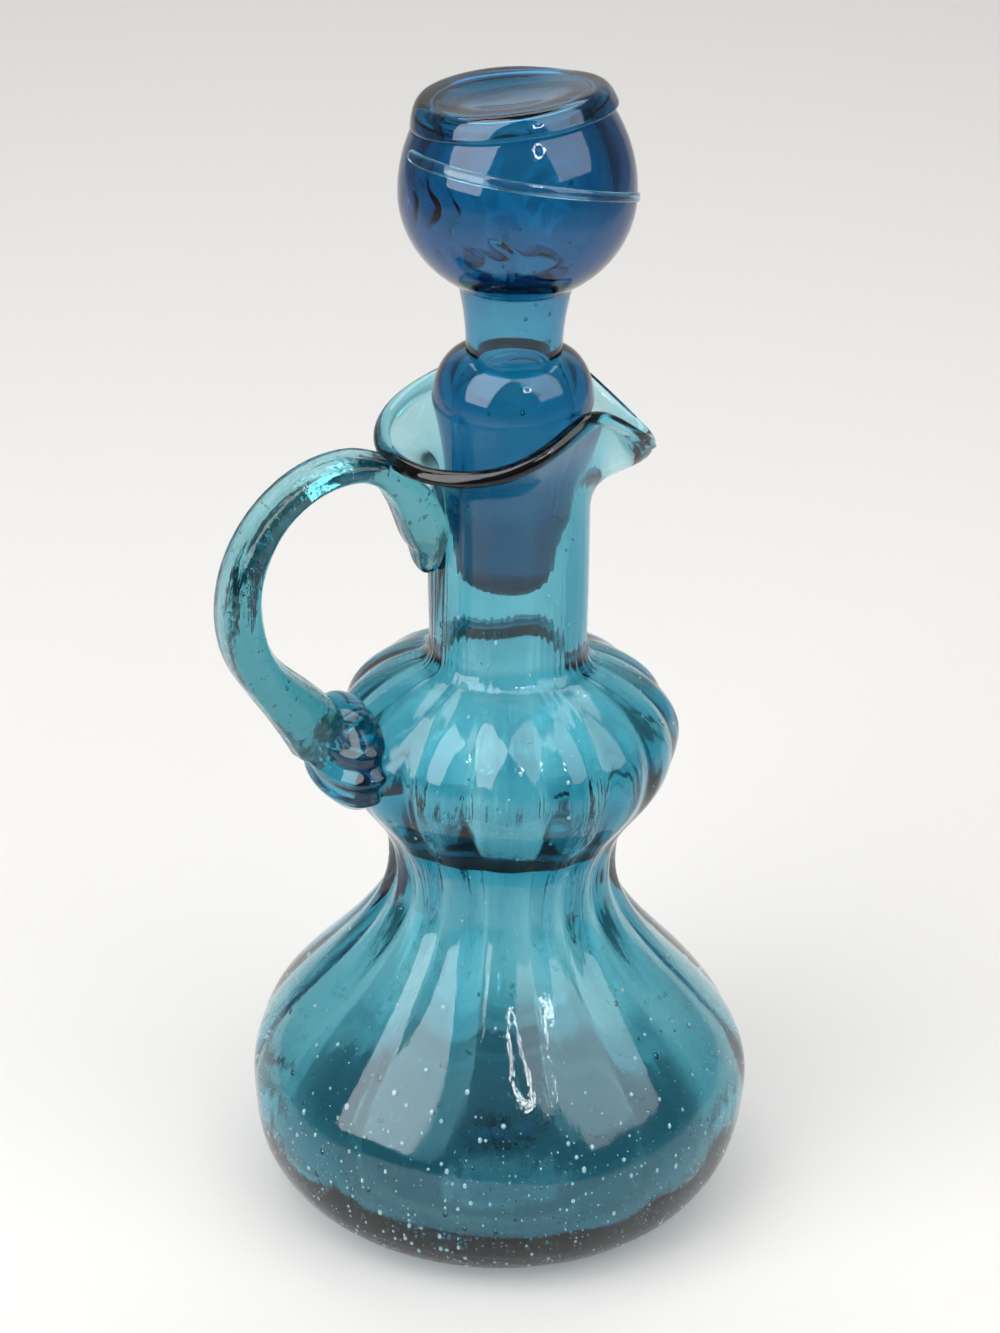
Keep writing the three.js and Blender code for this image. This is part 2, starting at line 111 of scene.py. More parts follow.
class BodySizes(bpy.types.PropertyGroup):
    """Sizes of the blown body, from the foot upwards"""

    foot_radius: length("Foot radius", 34, "Ring that the bottle stands on")
    foot_kick: length("Foot kick", 1.6, "Hollow pushed up under the foot")
    pontil_radius: length("Pontil radius", 9, "Rough scar in the middle of the foot")
    heel_flat: length("Heel flat", 12, "Run of the heel before it turns up")
    heel_rise: length("Heel rise", 16, "Run of the lower bulb's side down to the heel")
    lower_bulb_radius: length("Lower bulb radius", 52.3, "Widest ring of the bottle")
    lower_bulb_height: length("Lower bulb height", 24, "Height of the widest ring")
    lower_bulb_shoulder: length("Lower bulb shoulder", 17, "Run of the side above the widest ring")
    waist_radius: length("Waist radius", 22.4, "Outside of the drawn-in waist")
    waist_rise: length("Waist rise", 49.5, "Waist above the widest ring")
    waist_run_below: length("Waist run below", 18, "Run of the waist downwards")
    waist_run_above: length("Waist run above", 13.5, "Run of the waist upwards")
    pinch_radius: length("Pinch radius", 18.8, "Inside of the waist, where the wall is thickest")
    pinch_rise: length("Pinch rise", 9.5, "Crease of the inner wall above the waist")
    ledge_radius: length("Ledge radius", 19.3, "Inside of the upper bulb at the crease")
    upper_bulb_radius: length("Upper bulb radius", 34, "Widest ring of the upper bulb")
    upper_bulb_rise: length("Upper bulb rise", 28.5, "Upper bulb above the waist")
    upper_bulb_belly: length("Upper bulb belly", 12.3, "Run of the upper bulb's side downwards")
    upper_bulb_crown: length("Upper bulb crown", 19.5, "Rise of the dome over the upper bulb")
    crown_fillet: length("Crown fillet", 2.4, "Round where the dome meets the neck")
    neck_radius: length("Neck radius", 15.6, "Outside of the straight neck")
    neck_length: length("Neck length", 33, "Neck from the dome to the stopper's seat")
    flare_rise: length("Flare rise", 16.8, "Trumpet lip above the neck")
    lip_radius: length("Lip radius", 21.8, "Outside of the lip")
    lip_slant: turn("Lip slant", 48, "Rise of the lip at its edge")
    lip_run: length("Lip run", 6.7, "Straight stretch of the lip at its edge")
    lip_bead: length("Lip bead", 1.6, "Radius of the round bead on the lip")
    lip_offset: length("Lip offset", 4.4, "Slip of the lip towards the handle")
    lip_curl: count("Lip curl", 5, "How late in the flare the lip slips aside")
    lip_lean: turn("Lip lean", 6, "Lean of the lip to the front")
    lip_tip: turn("Lip tip", 11, "Rise of the lip towards the spout")
    floor_thickness: length("Floor", 6, "Thickness of the bottom")
    floor_dome: length("Floor dome", 3, "Rise of the inner bottom in the middle")
    lower_wall: length("Lower wall", 2.1, "Wall of the lower bulb")
    upper_wall: length("Upper wall", 3.0, "Wall of the upper bulb")
    neck_wall: length("Neck wall", 2.8, "Wall of the neck")
    lip_wall: length("Lip wall", 2.2, "Wall of the trumpet lip")
    flutes: count("Flutes", 16, "Ribs round both bulbs")
    flute_depth: length("Flute depth", 0.8, "Height of the ribs")
    flute_fade: length("Flute fade", 9, "Stretch in which the ribs die out at the neck")
    spout_bearing: turn("Spout bearing", -6, "Bearing of the spout")
    spout_reach: length("Spout reach", 10.6, "How far the spout is pulled out")
    spout_drop: length("Spout drop", 11.3, "How far the spout is pulled down")
    spout_half: turn("Spout half angle", 26, "Half width of the spout")
    pinch_lift: length("Pinch lift", 4.2, "Rise of the lip beside the spout")
    pinch_bearing: turn("Pinch bearing", 52, "Place of the rises beside the spout")
    pinch_half: turn("Pinch half angle", 35, "Half width of the rises beside the spout")
    seeds: count("Seeds", 350, "Small clear bubbles in the body's wall")
    # Pale seeds are white, faintly glowing balls: painted glints of bubbles
    glint_seeds: count("Pale seeds", 2300, "Small white specks that glow faintly, painted glints of bubbles in the body's wall")


class HandleSizes(bpy.types.PropertyGroup):
    """Sizes of the strap handle and its pad"""

    reach: length("Reach", 55.4, "Strap from the axis at its bend")
    bend_height: length("Bend height", 36, "Bend above the upper bulb")
    crown_reach: length("Crown reach", 33, "Highest point of the strap from the axis")
    drop_from_lip: length("Drop from lip", 4.6, "Strap's crown below the lip")
    root_rise: length("Root rise", 3, "Strap's lower end above the upper bulb's widest ring")
    root_reach: length("Root reach", 45, "Where the lower end bends up")
    root_run: length("Root run", 15, "Run of the lower end upwards")
    bend_run: length("Bend run", 16, "Run of the bend downwards")
    tail_crown_run: length("Tail crown run", 7, "Run of the crown towards the neck")
    tail_bend_lean: length("Tail lean", 2.6, "Lean of the tail off the neck")
    tail_bend_run: length("Tail bend run", 11, "Run of the tail upwards")
    tail_drop: length("Tail drop", 18, "Tail's straight stretch below the crown")
    tail_length: length("Tail length", 24.5, "Tail's tip below the crown")
    tail_stand: length("Tail stand", 1.4, "Tail's middle off the neck")
    widths: stations("Widths", (16, 14, 10.5, 11.5, 5), "Strap width at root, low, high, tail and tip")
    thicknesses: stations(
        "Thicknesses",
        (15, 9.2, 5.4, 9.6, 5),
        "Strap thickness at root, low, high, tail and tip",
    )
    line_depth: length("Line depth", 0.12, "Depth of the lines drawn along the strap")
    pad_half_width: length("Pad half width", 15, "Half of the pad's width")
    pad_half_height: length("Pad half height", 11, "Half of the pad's height")
    pad_rise: length("Pad rise", 2.2, "Pad above the upper bulb's widest ring")
    pad_stand: length("Pad stand", 7.6, "Pad off the upper bulb's widest ring")
    pad_crimps: count("Pad crimps", 4, "Folds pressed into the pad")
    pad_crimp_depth: length("Pad crimp depth", 0.7, "Depth of the folds")
    join_gap: length("Join gap", 0.1, "Gap left where hot glass was joined")
    seeds: count("Seeds", 180, "Small bubbles in the strap")


class StopperSizes(bpy.types.PropertyGroup):
    """Sizes of the stopper, from its seat at the top of the neck"""

    seat_gap: length("Seat gap", 0.3, "Gap between plug and neck")
    plug_depth: length("Plug depth", 18, "Plug below the seat")
    plug_tip_radius: length("Plug tip radius", 9.4, "Radius of the plug near its end")
    plug_tip_round: length("Plug tip round", 7, "Round of the plug's end")
    shoulder_radius: length("Shoulder radius", 15.4, "Widest ring above the seat")
    shoulder_rise: length("Shoulder rise", 21, "Shoulder above the seat")
    shoulder_dome: length("Shoulder dome", 10, "Rise of the shoulder's dome")
    shoulder_round: length("Shoulder round", 6, "Run of the shoulder's side upwards")
    neck_radius: length("Stopper neck radius", 9.1, "Stopper's neck at the crease")
    neck_flare: length("Stopper neck flare", 1.7, "Widening of the stopper's neck")
    neck_length: length("Stopper neck length", 13, "Crease to knob")
    knob_radius: length("Knob radius", 22, "Widest ring of the knob")
    knob_lower_half: length("Knob lower half", 19.9, "Knob's lower half height")
    knob_upper_half: length("Knob upper half", 25, "Knob's upper half height")
    plug_wall: length("Plug wall", 3.4, "Wall of plug and shoulder")
    neck_wall: length("Stopper neck wall", 2.2, "Wall of the stopper's neck")
    knob_wall: length("Knob wall", 4.4, "Wall of the knob")
    cap_radius: length("Cap radius", 19, "Flattened bit on the knob")
    cap_thickness: length("Cap thickness", 2.8, "Thickness of the flattened bit")
    cap_round: length("Cap round", 1.4, "Round of the flattened bit's edge")
    cap_joint_drop: length("Cap joint drop", 1.1, "Joint with the knob below the flattened bit's disc")
    cap_gap: length("Cap gap", 0.1, "Gap left at the joint with the knob")
    cap_wall: length("Cap wall", 3.6, "Width of the flattened bit's rim")
    cap_plate: length("Cap plate", 1.9, "Thickness over the knob's hollow")
    cap_slope: length("Cap slope", 1.2, "How far the rim draws in upwards")
    cap_shift: length("Cap shift", 1.3, "Shift of the flattened bit towards the handle")
    cap_dimple: length("Cap dimple", 0.8, "Depth of the dimple")
    cap_dimple_radius: length("Cap dimple radius", 13, "Size of the dimple")
    cap_tilt: turn("Cap tilt", 7, "Rise of the flattened bit towards the spout")
    cap_crest: length("Cap crest", 1.6, "Extra rise of the rim at the back")
    cap_crest_turn: turn("Cap crest turn", 21, "Turn of the crest from the back towards the handle")
    cap_nod: turn("Cap nod", 4, "Rise of the flattened bit towards the front")
    cap_seat_radius: length("Cap seat radius", 17.6, "Knob's radius under the flattened bit")
    trail_radius: length("Trail radius", 0.95, "Radius of the thread at its start")
    trail_tip_radius: length("Trail tip radius", 0.55, "Radius of the thread at its end")
    trail_start: turn("Trail start", 175, "Bearing at which the thread starts")
    trail_sweep: turn("Trail sweep", 198, "Turn of the thread round the knob")
    trail_top: length("Trail top", 8.5, "Thread's start above the knob's widest ring")
    trail_bottom: length("Trail bottom", -5.4, "Thread's end above the knob's widest ring")
    seeds: count("Seeds", 150, "Small bubbles in the stopper's wall")


class GlassLooks(bpy.types.PropertyGroup):
    """Colours of the glass"""

    body_colour: colour("Body colour", (0.0, 0.657, 0.756), "Light that the body's glass lets through")
    body_density: number("Body density", 380, "Strength of the body's colour per metre")
    handle_colour: colour("Handle colour", (0.0, 0.6, 0.67), "Light that the handle's glass lets through")
    handle_density: number("Handle density", 185, "Strength of the handle's colour per metre")
    pad_density: number("Pad density", 210, "Strength of the pad's colour per metre")
    stopper_colour: colour(
        "Stopper colour",
        (0.0, 0.65, 0.8),
        "Light that the stopper's glass lets through",
    )
    stopper_density: number("Stopper density", 640, "Strength of the stopper's colour per metre")


class StageSettings(bpy.types.PropertyGroup):
    """Camera, floor and lights"""

    azimuth: turn("Azimuth", -24, "Camera's bearing round the bottle")
    pitch: turn("Pitch", 26, "How far the camera looks down")
    roll: turn("Roll", 1.2, "Camera's roll")
    distance: length("Distance", 535, "Camera to the bottle's axis")
    target_height: length("Target height", 116.3, "Height that the camera looks at")
    target_shift: length("Target shift", -1.38, "Shift of the camera to its right")
    focal_share: number("Focal share", 2700 / 1333, "Focal length over the image height")
    floor_colour: colour("Floor colour", (0.46, 0.456, 0.447), "Pale floor")
    floor_glow: number("Floor glow", 0.21, "Light that comes up through the floor")
    sky_strength: number("Sky strength", 0.2, "Light from all round")
    softbox_left: number("Left softbox", 15.0, "Watts of the left softbox")
    softbox_right: number("Right softbox", 7.5, "Watts of the right softbox")
    backdrop_light: number("Backdrop light", 24.0, "Watts over the backdrop")
    ring_strength: number("Ring strength", 30.0, "Brightness of the ring light")


# Curves and skins


def smoothstep(value, low, high):
    share = np.clip((value - low) / (high - low), 0, 1)
    return share * share * (3 - 2 * share)


def bump(bearing, centre, half):
    away = (bearing - centre + math.pi) % FULL_TURN - math.pi
    return np.exp(-((away / half) ** 2))


def bezier(*controls, steps):
    """Points along a curve with the given controls, without the first one."""
    controls = np.array(controls, float)
    degree = len(controls) - 1
    share = np.linspace(0, 1, steps + 1)[1:, None]
    weights = [math.comb(degree, i) * (1 - share) ** (degree - i) * share**i for i in range(degree + 1)]
    return sum(weight * control for weight, control in zip(weights, controls))


def arc(centre, reach, rise, start, end, steps):
    """Points along a stretch of an ellipse, without the first one."""
    angle = np.linspace(start, end, steps + 1)[1:]
    return np.stack([centre[0] + reach * np.cos(angle), centre[1] + rise * np.sin(angle)], axis=1)


def path(start, *stretches):
    return np.vstack([np.array([start], float), *stretches])


def ripple(rng, waves, turns, pitch, size):
    """A waver over bearing and height, the same on every run."""
    around = rng.integers(turns[0], turns[1] + 1, waves)
    along = rng.uniform(-pitch, pitch, waves)
    phase = rng.uniform(0, FULL_TURN, waves)
    height = size * rng.uniform(0.4, 1.0, waves) / math.sqrt(waves)

    def at(bearing, z):
        total = 0
        for a, b, c, d in zip(around, along, phase, height):
            total = total + d * np.cos(a * bearing + b * z + c)
        return total

    return at


def skin(grid, start, end):
    """Closed skin over rings of points, ended by one point at each end."""
    rings, sides = grid.shape[:2]
    points = np.vstack([start, grid.reshape(-1, 3), end])
    side = np.arange(sides)
    after = (side + 1) % sides
    low = 1 + np.arange(rings - 1)[:, None] * sides
    quads = np.stack([low + side, low + after, low + sides + after, low + sides + side], axis=-1)
    last = 1 + (rings - 1) * sides
    first_fan = np.stack([np.zeros(sides, int), 1 + after, 1 + side], axis=1)
    last_fan = np.stack([last + side, last + after, np.full(sides, len(points) - 1)], axis=1)
    return points, quads.reshape(-1, 4).tolist() + first_fan.tolist() + last_fan.tolist()


def turned_grid(profile, sides):
    bearing = np.linspace(0, FULL_TURN, sides, endpoint=False)
    radius = profile[:, 0][:, None]
    height = np.repeat(profile[:, 1][:, None], sides, axis=1)
    return np.stack([radius * np.cos(bearing), radius * np.sin(bearing), height], axis=-1)


def turned(profile, sides):
    """Skin of a profile that starts and ends on the axis."""
    ends = [np.array([0, 0, z]) for z in (profile[0, 1], profile[-1, 1])]
    return skin(turned_grid(profile[1:-1], sides), *ends)


def joined(*skins):
    points, faces, base = [], [], 0
    for skin_points, skin_faces in skins:
        points.append(skin_points)
        faces.extend([[base + corner for corner in face] for face in skin_faces])
        base += len(skin_points)
    return np.vstack(points), faces


def outward(points, faces):
    """The same skin with its faces pointing out."""
    corners = np.array([face[:3] for face in faces] + [[f[0], f[2], f[3]] for f in faces if len(f) == 4])
    a, b, c = (points[corners[:, i]] for i in range(3))
    volume = np.einsum("ij,ij->i", a, np.cross(b, c)).sum()
    return (points, faces) if volume > 0 else (points, [face[::-1] for face in faces])


# Seeds: how much rarer large ones are, their share of the wall, room to its skins and stretch
SEED_RARITY = 2.2
SEED_WALL_SHARE = 0.3
SEED_ROOM = 1.5
SEED_STRETCH = 1.7
LEAST_AREA = 1e-12


def seed_ball():
    ball = bmesh.new()
    bmesh.ops.create_icosphere(ball, subdivisions=2, radius=1)
    ball.verts.ensure_lookup_table()
    points = np.array([vert.co[:] for vert in ball.verts])
    faces = [[vert.index for vert in face.verts] for face in ball.faces]
    ball.free()
    return points, faces


def seeds_in(grid, wall, rng, amount, chance, sizes, clear):
    """Seeds scattered under an outer skin; clear ones are voids, so their faces point in."""
    ball_points, ball_faces = seed_ball()
    if clear:
        ball_faces = [face[::-1] for face in ball_faces]
    along = np.gradient(grid, axis=0)
    beside = np.roll(grid, -1, axis=1) - np.roll(grid, 1, axis=1)
    normal = np.cross(beside, along)
    area = np.linalg.norm(normal, axis=2)
    normal = normal / (area[..., None] + LEAST_AREA)
    weight = (area * chance(grid[..., 2])).ravel()
    picks = rng.choice(weight.size, amount, p=weight / weight.sum())
    small, large = sizes
    seeds = []
    for pick in picks:
        ring, side = divmod(pick, grid.shape[1])
        radius = small * (large / small) ** (rng.random() ** SEED_RARITY)
        radius = min(radius, wall * SEED_WALL_SHARE)
        room = radius * SEED_ROOM
        depth = rng.uniform(room, wall - room)
        centre = grid[ring, side] - normal[ring, side] * depth
        stretch = np.array([1, 1, rng.uniform(1.0, SEED_STRETCH)])
        seeds.append((ball_points * radius * stretch + centre, ball_faces))
    return joined(*seeds)


SHARP_EDGE = math.radians(50)


def glass_piece(name, skins, body, slot, *nodes):
    """One object of several skins, each given as points, faces and material."""
    points, faces = joined(*[(skin_points, skin_faces) for skin_points, skin_faces, _ in skins])
    mesh = bpy.data.meshes.new(name)
    mesh.from_pydata(points.tolist(), [], faces)
    mesh.polygons.foreach_set("use_smooth", [True] * len(mesh.polygons))
    materials = list(dict.fromkeys(material for _, _, material in skins))
    for material in materials:
        mesh.materials.append(material)
    index = [materials.index(material) for _, skin_faces, material in skins for _ in skin_faces]
    mesh.polygons.foreach_set("material_index", index)
    mesh.set_sharp_from_angle(angle=SHARP_EDGE)
    mesh.update()
    piece = bpy.data.objects.new(name, mesh)
    bpy.context.scene.collection.objects.link(piece)
    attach(piece, body)
    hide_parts(*nodes)
    return piece


# Glass

GLASS_IOR = 1.5
BUMP_STRENGTH = 0.35
SMEAR_SCALE = 48


def value_node(tree, kind, **settings):
    node = tree.nodes.new(kind)
    for name, value in settings.items():
        setattr(node, name, value)
    return node


def noise_node(tree, place, stretch, detail):
    """Noise over the object, drawn out along its height; returns its scale socket and its value."""
    drawn = tree.nodes.new("ShaderNodeMapping")
    drawn.inputs["Scale"].default_value = (1, 1, stretch)
    noise = tree.nodes.new("ShaderNodeTexNoise")
    noise.inputs["Detail"].default_value = detail
    tree.links.new(place.outputs["Object"], drawn.inputs["Vector"])
    tree.links.new(drawn.outputs["Vector"], noise.inputs["Vector"])
    return noise.inputs["Scale"], noise.outputs["Fac"]


def band_node(tree, value, low, high):
    """Soft step of a value from 0 at low to 1 at high."""
    band = value_node(tree, "ShaderNodeMapRange", interpolation_type="SMOOTHSTEP")
    band.inputs["From Min"].default_value = low
    band.inputs["From Max"].default_value = high
    tree.links.new(value, band.inputs["Value"])
    return band


def scaled_sum(tree, value, scale, added):
    """Value times scale plus another value."""
    node = value_node(tree, "ShaderNodeMath", operation="MULTIPLY_ADD")
    tree.links.new(value, node.inputs[0])
    tree.links.new(scale, node.inputs[1])
    tree.links.new(added, node.inputs[2])
    return node.outputs["Value"]


def blown_surface():
    """Shared surface of blown glass: drawn streaks, waver, fine grain and handling smears."""
    name = "Blown Surface"
    if name in bpy.data.node_groups:
        return bpy.data.node_groups[name]
    tree = bpy.data.node_groups.new(name, "ShaderNodeTree")
    sockets = tree.interface
    for title, kind, default in (
        ("Clear Colour", "NodeSocketColor", (1, 1, 1, 1)),
        ("Streak Colour", "NodeSocketColor", (0.9, 0.95, 0.97, 1)),
        ("Streaks", "NodeSocketFloat", 260.0),
        ("Streak Height", "NodeSocketFloat", 0.45),
        ("Waver", "NodeSocketFloat", 60.0),
        ("Grain", "NodeSocketFloat", 1300.0),
        ("Grain Height", "NodeSocketFloat", 0.1),
        ("Roughness", "NodeSocketFloat", 0.03),
        ("Smears", "NodeSocketFloat", 0.08),
    ):
        sockets.new_socket(title, in_out="INPUT", socket_type=kind).default_value = default
    for title, kind in (
        ("Color", "NodeSocketColor"),
        ("Roughness", "NodeSocketFloat"),
        ("Height", "NodeSocketFloat"),
    ):
        sockets.new_socket(title, in_out="OUTPUT", socket_type=kind)
    given = tree.nodes.new("NodeGroupInput")
    result = tree.nodes.new("NodeGroupOutput")
    place = tree.nodes.new("ShaderNodeTexCoord")
    link = tree.links.new
    streak_scale, streak = noise_node(tree, place, stretch=0.06, detail=3)
    waver_scale, waver = noise_node(tree, place, stretch=1, detail=2)
    grain_scale, grain = noise_node(tree, place, stretch=0.35, detail=2)
    smear_scale, smear = noise_node(tree, place, stretch=0.6, detail=5)
    link(given.outputs["Streaks"], streak_scale)
    link(given.outputs["Waver"], waver_scale)
    link(given.outputs["Grain"], grain_scale)
    smear_scale.default_value = SMEAR_SCALE
    tint = value_node(tree, "ShaderNodeMix", data_type="RGBA")
    link(band_node(tree, streak, low=0.5, high=0.72).outputs["Result"], tint.inputs["Factor"])
    link(given.outputs["Clear Colour"], tint.inputs["A"])
    link(given.outputs["Streak Colour"], tint.inputs["B"])
    link(tint.outputs["Result"], result.inputs["Color"])
    haze = band_node(tree, smear, low=0.45, high=0.75).outputs["Result"]
    rough = scaled_sum(tree, haze, given.outputs["Smears"], given.outputs["Roughness"])
    link(rough, result.inputs["Roughness"])
    drawn = scaled_sum(tree, streak, given.outputs["Streak Height"], waver)
    height = scaled_sum(tree, grain, given.outputs["Grain Height"], drawn)
    link(height, result.inputs["Height"])
    return tree


def blown_glass(name, tint, density, streak, finish, bump_height=0.25 * MM, haze=None, **surface_values):
    """Clear glass with absorbed colour; finish is its roughness and the smears on it.

    Haze is a ground band: the heights where it is full and where it ends, and its roughness.
    """
    material = bpy.data.materials.new(name)
    material.use_nodes = True
    tree = material.node_tree
    shader = tree.nodes["Principled BSDF"]
    shader.inputs["Transmission Weight"].default_value = 1.0
    shader.inputs["IOR"].default_value = GLASS_IOR
    shader.inputs["Metallic"].default_value = 0.0
    surface = tree.nodes.new("ShaderNodeGroup")
    surface.node_tree = blown_surface()
    surface.inputs["Streak Colour"].default_value = (*streak, 1)
    surface.inputs["Roughness"].default_value, surface.inputs["Smears"].default_value = finish
    for title, value in surface_values.items():
        surface.inputs[title.replace("_", " ").title()].default_value = value
    relief = tree.nodes.new("ShaderNodeBump")
    relief.inputs["Strength"].default_value = BUMP_STRENGTH
    relief.inputs["Distance"].default_value = bump_height
    link = tree.links.new
    link(surface.outputs["Color"], shader.inputs["Base Color"])
    link(surface.outputs["Height"], relief.inputs["Height"])
    link(relief.outputs["Normal"], shader.inputs["Normal"])
    roughness = surface.outputs["Roughness"]
    if haze:
        full, end, rough = haze
        place = tree.nodes.new("ShaderNodeTexCoord")
        split = tree.nodes.new("ShaderNodeSeparateXYZ")
        link(place.outputs["Object"], split.inputs["Vector"])
        band = band_node(tree, split.outputs["Z"], end, full)
        band.inputs["To Max"].default_value = rough
        total = value_node(tree, "ShaderNodeMath", operation="ADD")
        link(band.outputs["Result"], total.inputs[0])
        link(roughness, total.inputs[1])
        roughness = total.outputs["Value"]
    link(roughness, shader.inputs["Roughness"])
    volume = tree.nodes.new("ShaderNodeVolumeAbsorption")
    volume.inputs["Color"].default_value = (*tint, 1)
    volume.inputs["Density"].default_value = density
    link(volume.outputs["Volume"], tree.nodes["Material Output"].inputs["Volume"])
    return material


def seed_glint():
    """Pale seeds: small closed white balls with a faint glow, painted glints standing in for the light
    that real bubbles catch.
    """
    material = bpy.data.materials.new("Pale seed")
    material.use_nodes = True
    shader = material.node_tree.nodes["Principled BSDF"]
    shader.inputs["Base Color"].default_value = (0.85, 0.95, 0.96, 1)
    shader.inputs["Roughness"].default_value = 0.3
    shader.inputs["Emission Color"].default_value = (0.8, 0.95, 0.97, 1)
    shader.inputs["Emission Strength"].default_value = 0.15
    return material


# Body

SIDES_PER_FLUTE = 16

# Shares of a radius where the curves of the foot and the floor start and bend
FOOT_RING = 0.88
KICK_BENDS = 0.6, 0.85
FLOOR_BENDS = 0.5, 0.8

# How soon the inner wall follows the upper bulb over the crease
CREASE_EASE = 0.65

# How flutes and drawn lines come and go over the body
RIB_ROUND = 0.02
RIB_SINK = 1.2
BELLY_REACH = 16 * MM
BELLY_FADE = 0.5
NECK_LINE_FADE = 0.6
SLOPE_START = 1.8
BELLY_SHARE = 0.3
SLOPE_SHARE = 0.6
HOLLOW_FADE = 0.5
LINE_RUN = 8 * MM
HOLLOW_BELOW = 10 * MM
HOLLOW_ABOVE = 4 * MM
INNER_FLUTE = -0.2
INNER_LINES = 0.6
INNER_TURN = 0.4

# Seeds of the body: where they gather, how many lie elsewhere, their depth and radii
SEED_HEIGHT = 22 * MM
SEED_SPREAD = 20 * MM
SEED_ELSEWHERE = 0.12
SEED_DEPTH = 0.85
CLEAR_SEED = 0.18 * MM, 0.75 * MM
# Radii of the pale seeds, which carry painted glints
GLINT_SEED = 0.08 * MM, 0.5 * MM

# Scar under the foot: its soft edge, its roughness and its part of the kick
SCAR_EDGE = 0.4
SCAR_ROUGH = 0.2, 1.0
SCAR_PART = 3


def heights(body):
    waist = body.lower_bulb_height + body.waist_rise
    bulb = waist + body.upper_bulb_rise
    crown_turn = math.acos((body.neck_radius + body.crown_fillet) / body.upper_bulb_radius)
    crown = bulb + body.upper_bulb_crown * math.sin(crown_turn)
    neck_top = crown + body.neck_length
    lip = neck_top + body.flare_rise
    return SimpleNamespace(waist=waist, bulb=bulb, crown=crown, neck_top=neck_top, lip=lip)


def lip_edge(body, side):
    """Where a skin of the lip meets the bead: side is 1 outside and -1 inside."""
    level = heights(body)
    along = np.array([math.cos(body.lip_slant), math.sin(body.lip_slant)])
    out = np.array([math.sin(body.lip_slant), -math.cos(body.lip_slant)])
    root = np.array([body.lip_radius, level.lip]) - out * body.lip_wall / 2 - along * body.lip_bead
    return root + out * side * body.lip_wall / 2, along, out, root


def dome_to_lip(body, wall, side):
    """Crown, neck and trumpet of one skin, from the upper bulb's widest ring."""
    level = heights(body)
    upper = body.upper_bulb_radius - wall.upper
    neck = body.neck_radius - wall.neck
    crown = body.upper_bulb_crown - wall.upper
    end = math.acos((neck + body.crown_fillet) / upper)
    top = level.bulb + crown * math.sin(end)
    edge, along, _, _ = lip_edge(body, side)
    return [
        arc((0, level.bulb), upper, crown, 0, end, 22),
        bezier(
            (neck + body.crown_fillet, top),
            (neck, top + body.crown_fillet / 2),
            (neck, top + body.crown_fillet * 2),
            steps=8,
        ),
        bezier((neck, top + body.crown_fillet * 2), (neck, level.neck_top), steps=16),
        bezier(
            (neck, level.neck_top),
            (neck, level.neck_top + body.flare_rise / 2),
            edge - along * body.lip_run,
            edge,
            steps=26,
        ),
    ]


def outer_profile(body):
    level = heights(body)
    wall = SimpleNamespace(upper=0, neck=0)
    lower, foot, kick = body.lower_bulb_radius, body.foot_radius, body.foot_kick
    ring = foot * FOOT_RING
    near, far = KICK_BENDS
    return path(
        (0, kick),
        bezier((0, kick), (ring * near, kick), (ring * far, 0), (ring, 0), steps=16),
        bezier((ring, 0), (foot, 0), steps=2),
        bezier(
            (foot, 0),
            (foot + body.heel_flat, 0),
            (lower, body.lower_bulb_height - body.heel_rise),
            (lower, body.lower_bulb_height),
            steps=26,
        ),
        bezier(
            (lower, body.lower_bulb_height),
            (lower, body.lower_bulb_height + body.lower_bulb_shoulder),
            (body.waist_radius, level.waist - body.waist_run_below),
            (body.waist_radius, level.waist),
            steps=40,
        ),
        bezier(
            (body.waist_radius, level.waist),
            (body.waist_radius, level.waist + body.waist_run_above),
            (body.upper_bulb_radius, level.bulb - body.upper_bulb_belly),
            (body.upper_bulb_radius, level.bulb),
            steps=32,
        ),
        *dome_to_lip(body, wall, 1),
    )


def bead_profile(body):
    """Round bead on the lip, from the outer skin to the inner one."""
    _, along, out, root = lip_edge(body, 1)
    half = body.lip_wall / 2
    sink = math.sqrt(body.lip_bead**2 - half**2)
    middle = root + along * sink
    start = math.atan2(half, -sink)
    angle = np.linspace(start, -start, 18)
    return np.array([middle + body.lip_bead * (math.cos(a) * along + math.sin(a) * out) for a in angle])


def inner_profile(body):
    level = heights(body)
    wall = SimpleNamespace(upper=body.upper_wall, neck=body.neck_wall)
    floor, lower = body.floor_thickness, body.lower_bulb_radius - body.lower_wall
    foot = body.foot_radius - body.lower_wall
    upper = body.upper_bulb_radius - body.upper_wall
    dome = floor + body.floor_dome
    crease = level.waist + body.pinch_rise
    near, far = FLOOR_BENDS
    return path(
        (0, dome),
        bezier((0, dome), (foot * near, dome), (foot * far, floor), (foot, floor), steps=14),
        bezier(
            (foot, floor),
            (foot + body.heel_flat, floor),
            (lower, body.lower_bulb_height - body.heel_rise + floor / 2),
            (lower, body.lower_bulb_height),
            steps=22,
        ),
        bezier(
            (lower, body.lower_bulb_height),
            (lower, body.lower_bulb_height + body.lower_bulb_shoulder),
            (body.pinch_radius, level.waist - body.waist_run_below),
            (body.pinch_radius, level.waist),
            steps=36,
        ),
        bezier(
            (body.pinch_radius, level.waist),
            (body.pinch_radius, crease - body.pinch_rise / 4),
            (body.ledge_radius, crease),
            steps=12,
        ),
        bezier(
            (body.ledge_radius, crease),
            (body.ledge_radius + body.pinch_rise / 5, crease + body.pinch_rise / 4),
            (upper, level.bulb - body.upper_bulb_belly * CREASE_EASE),
            (upper, level.bulb),
            steps=28,
        ),
        *dome_to_lip(body, wall, -1),
    )


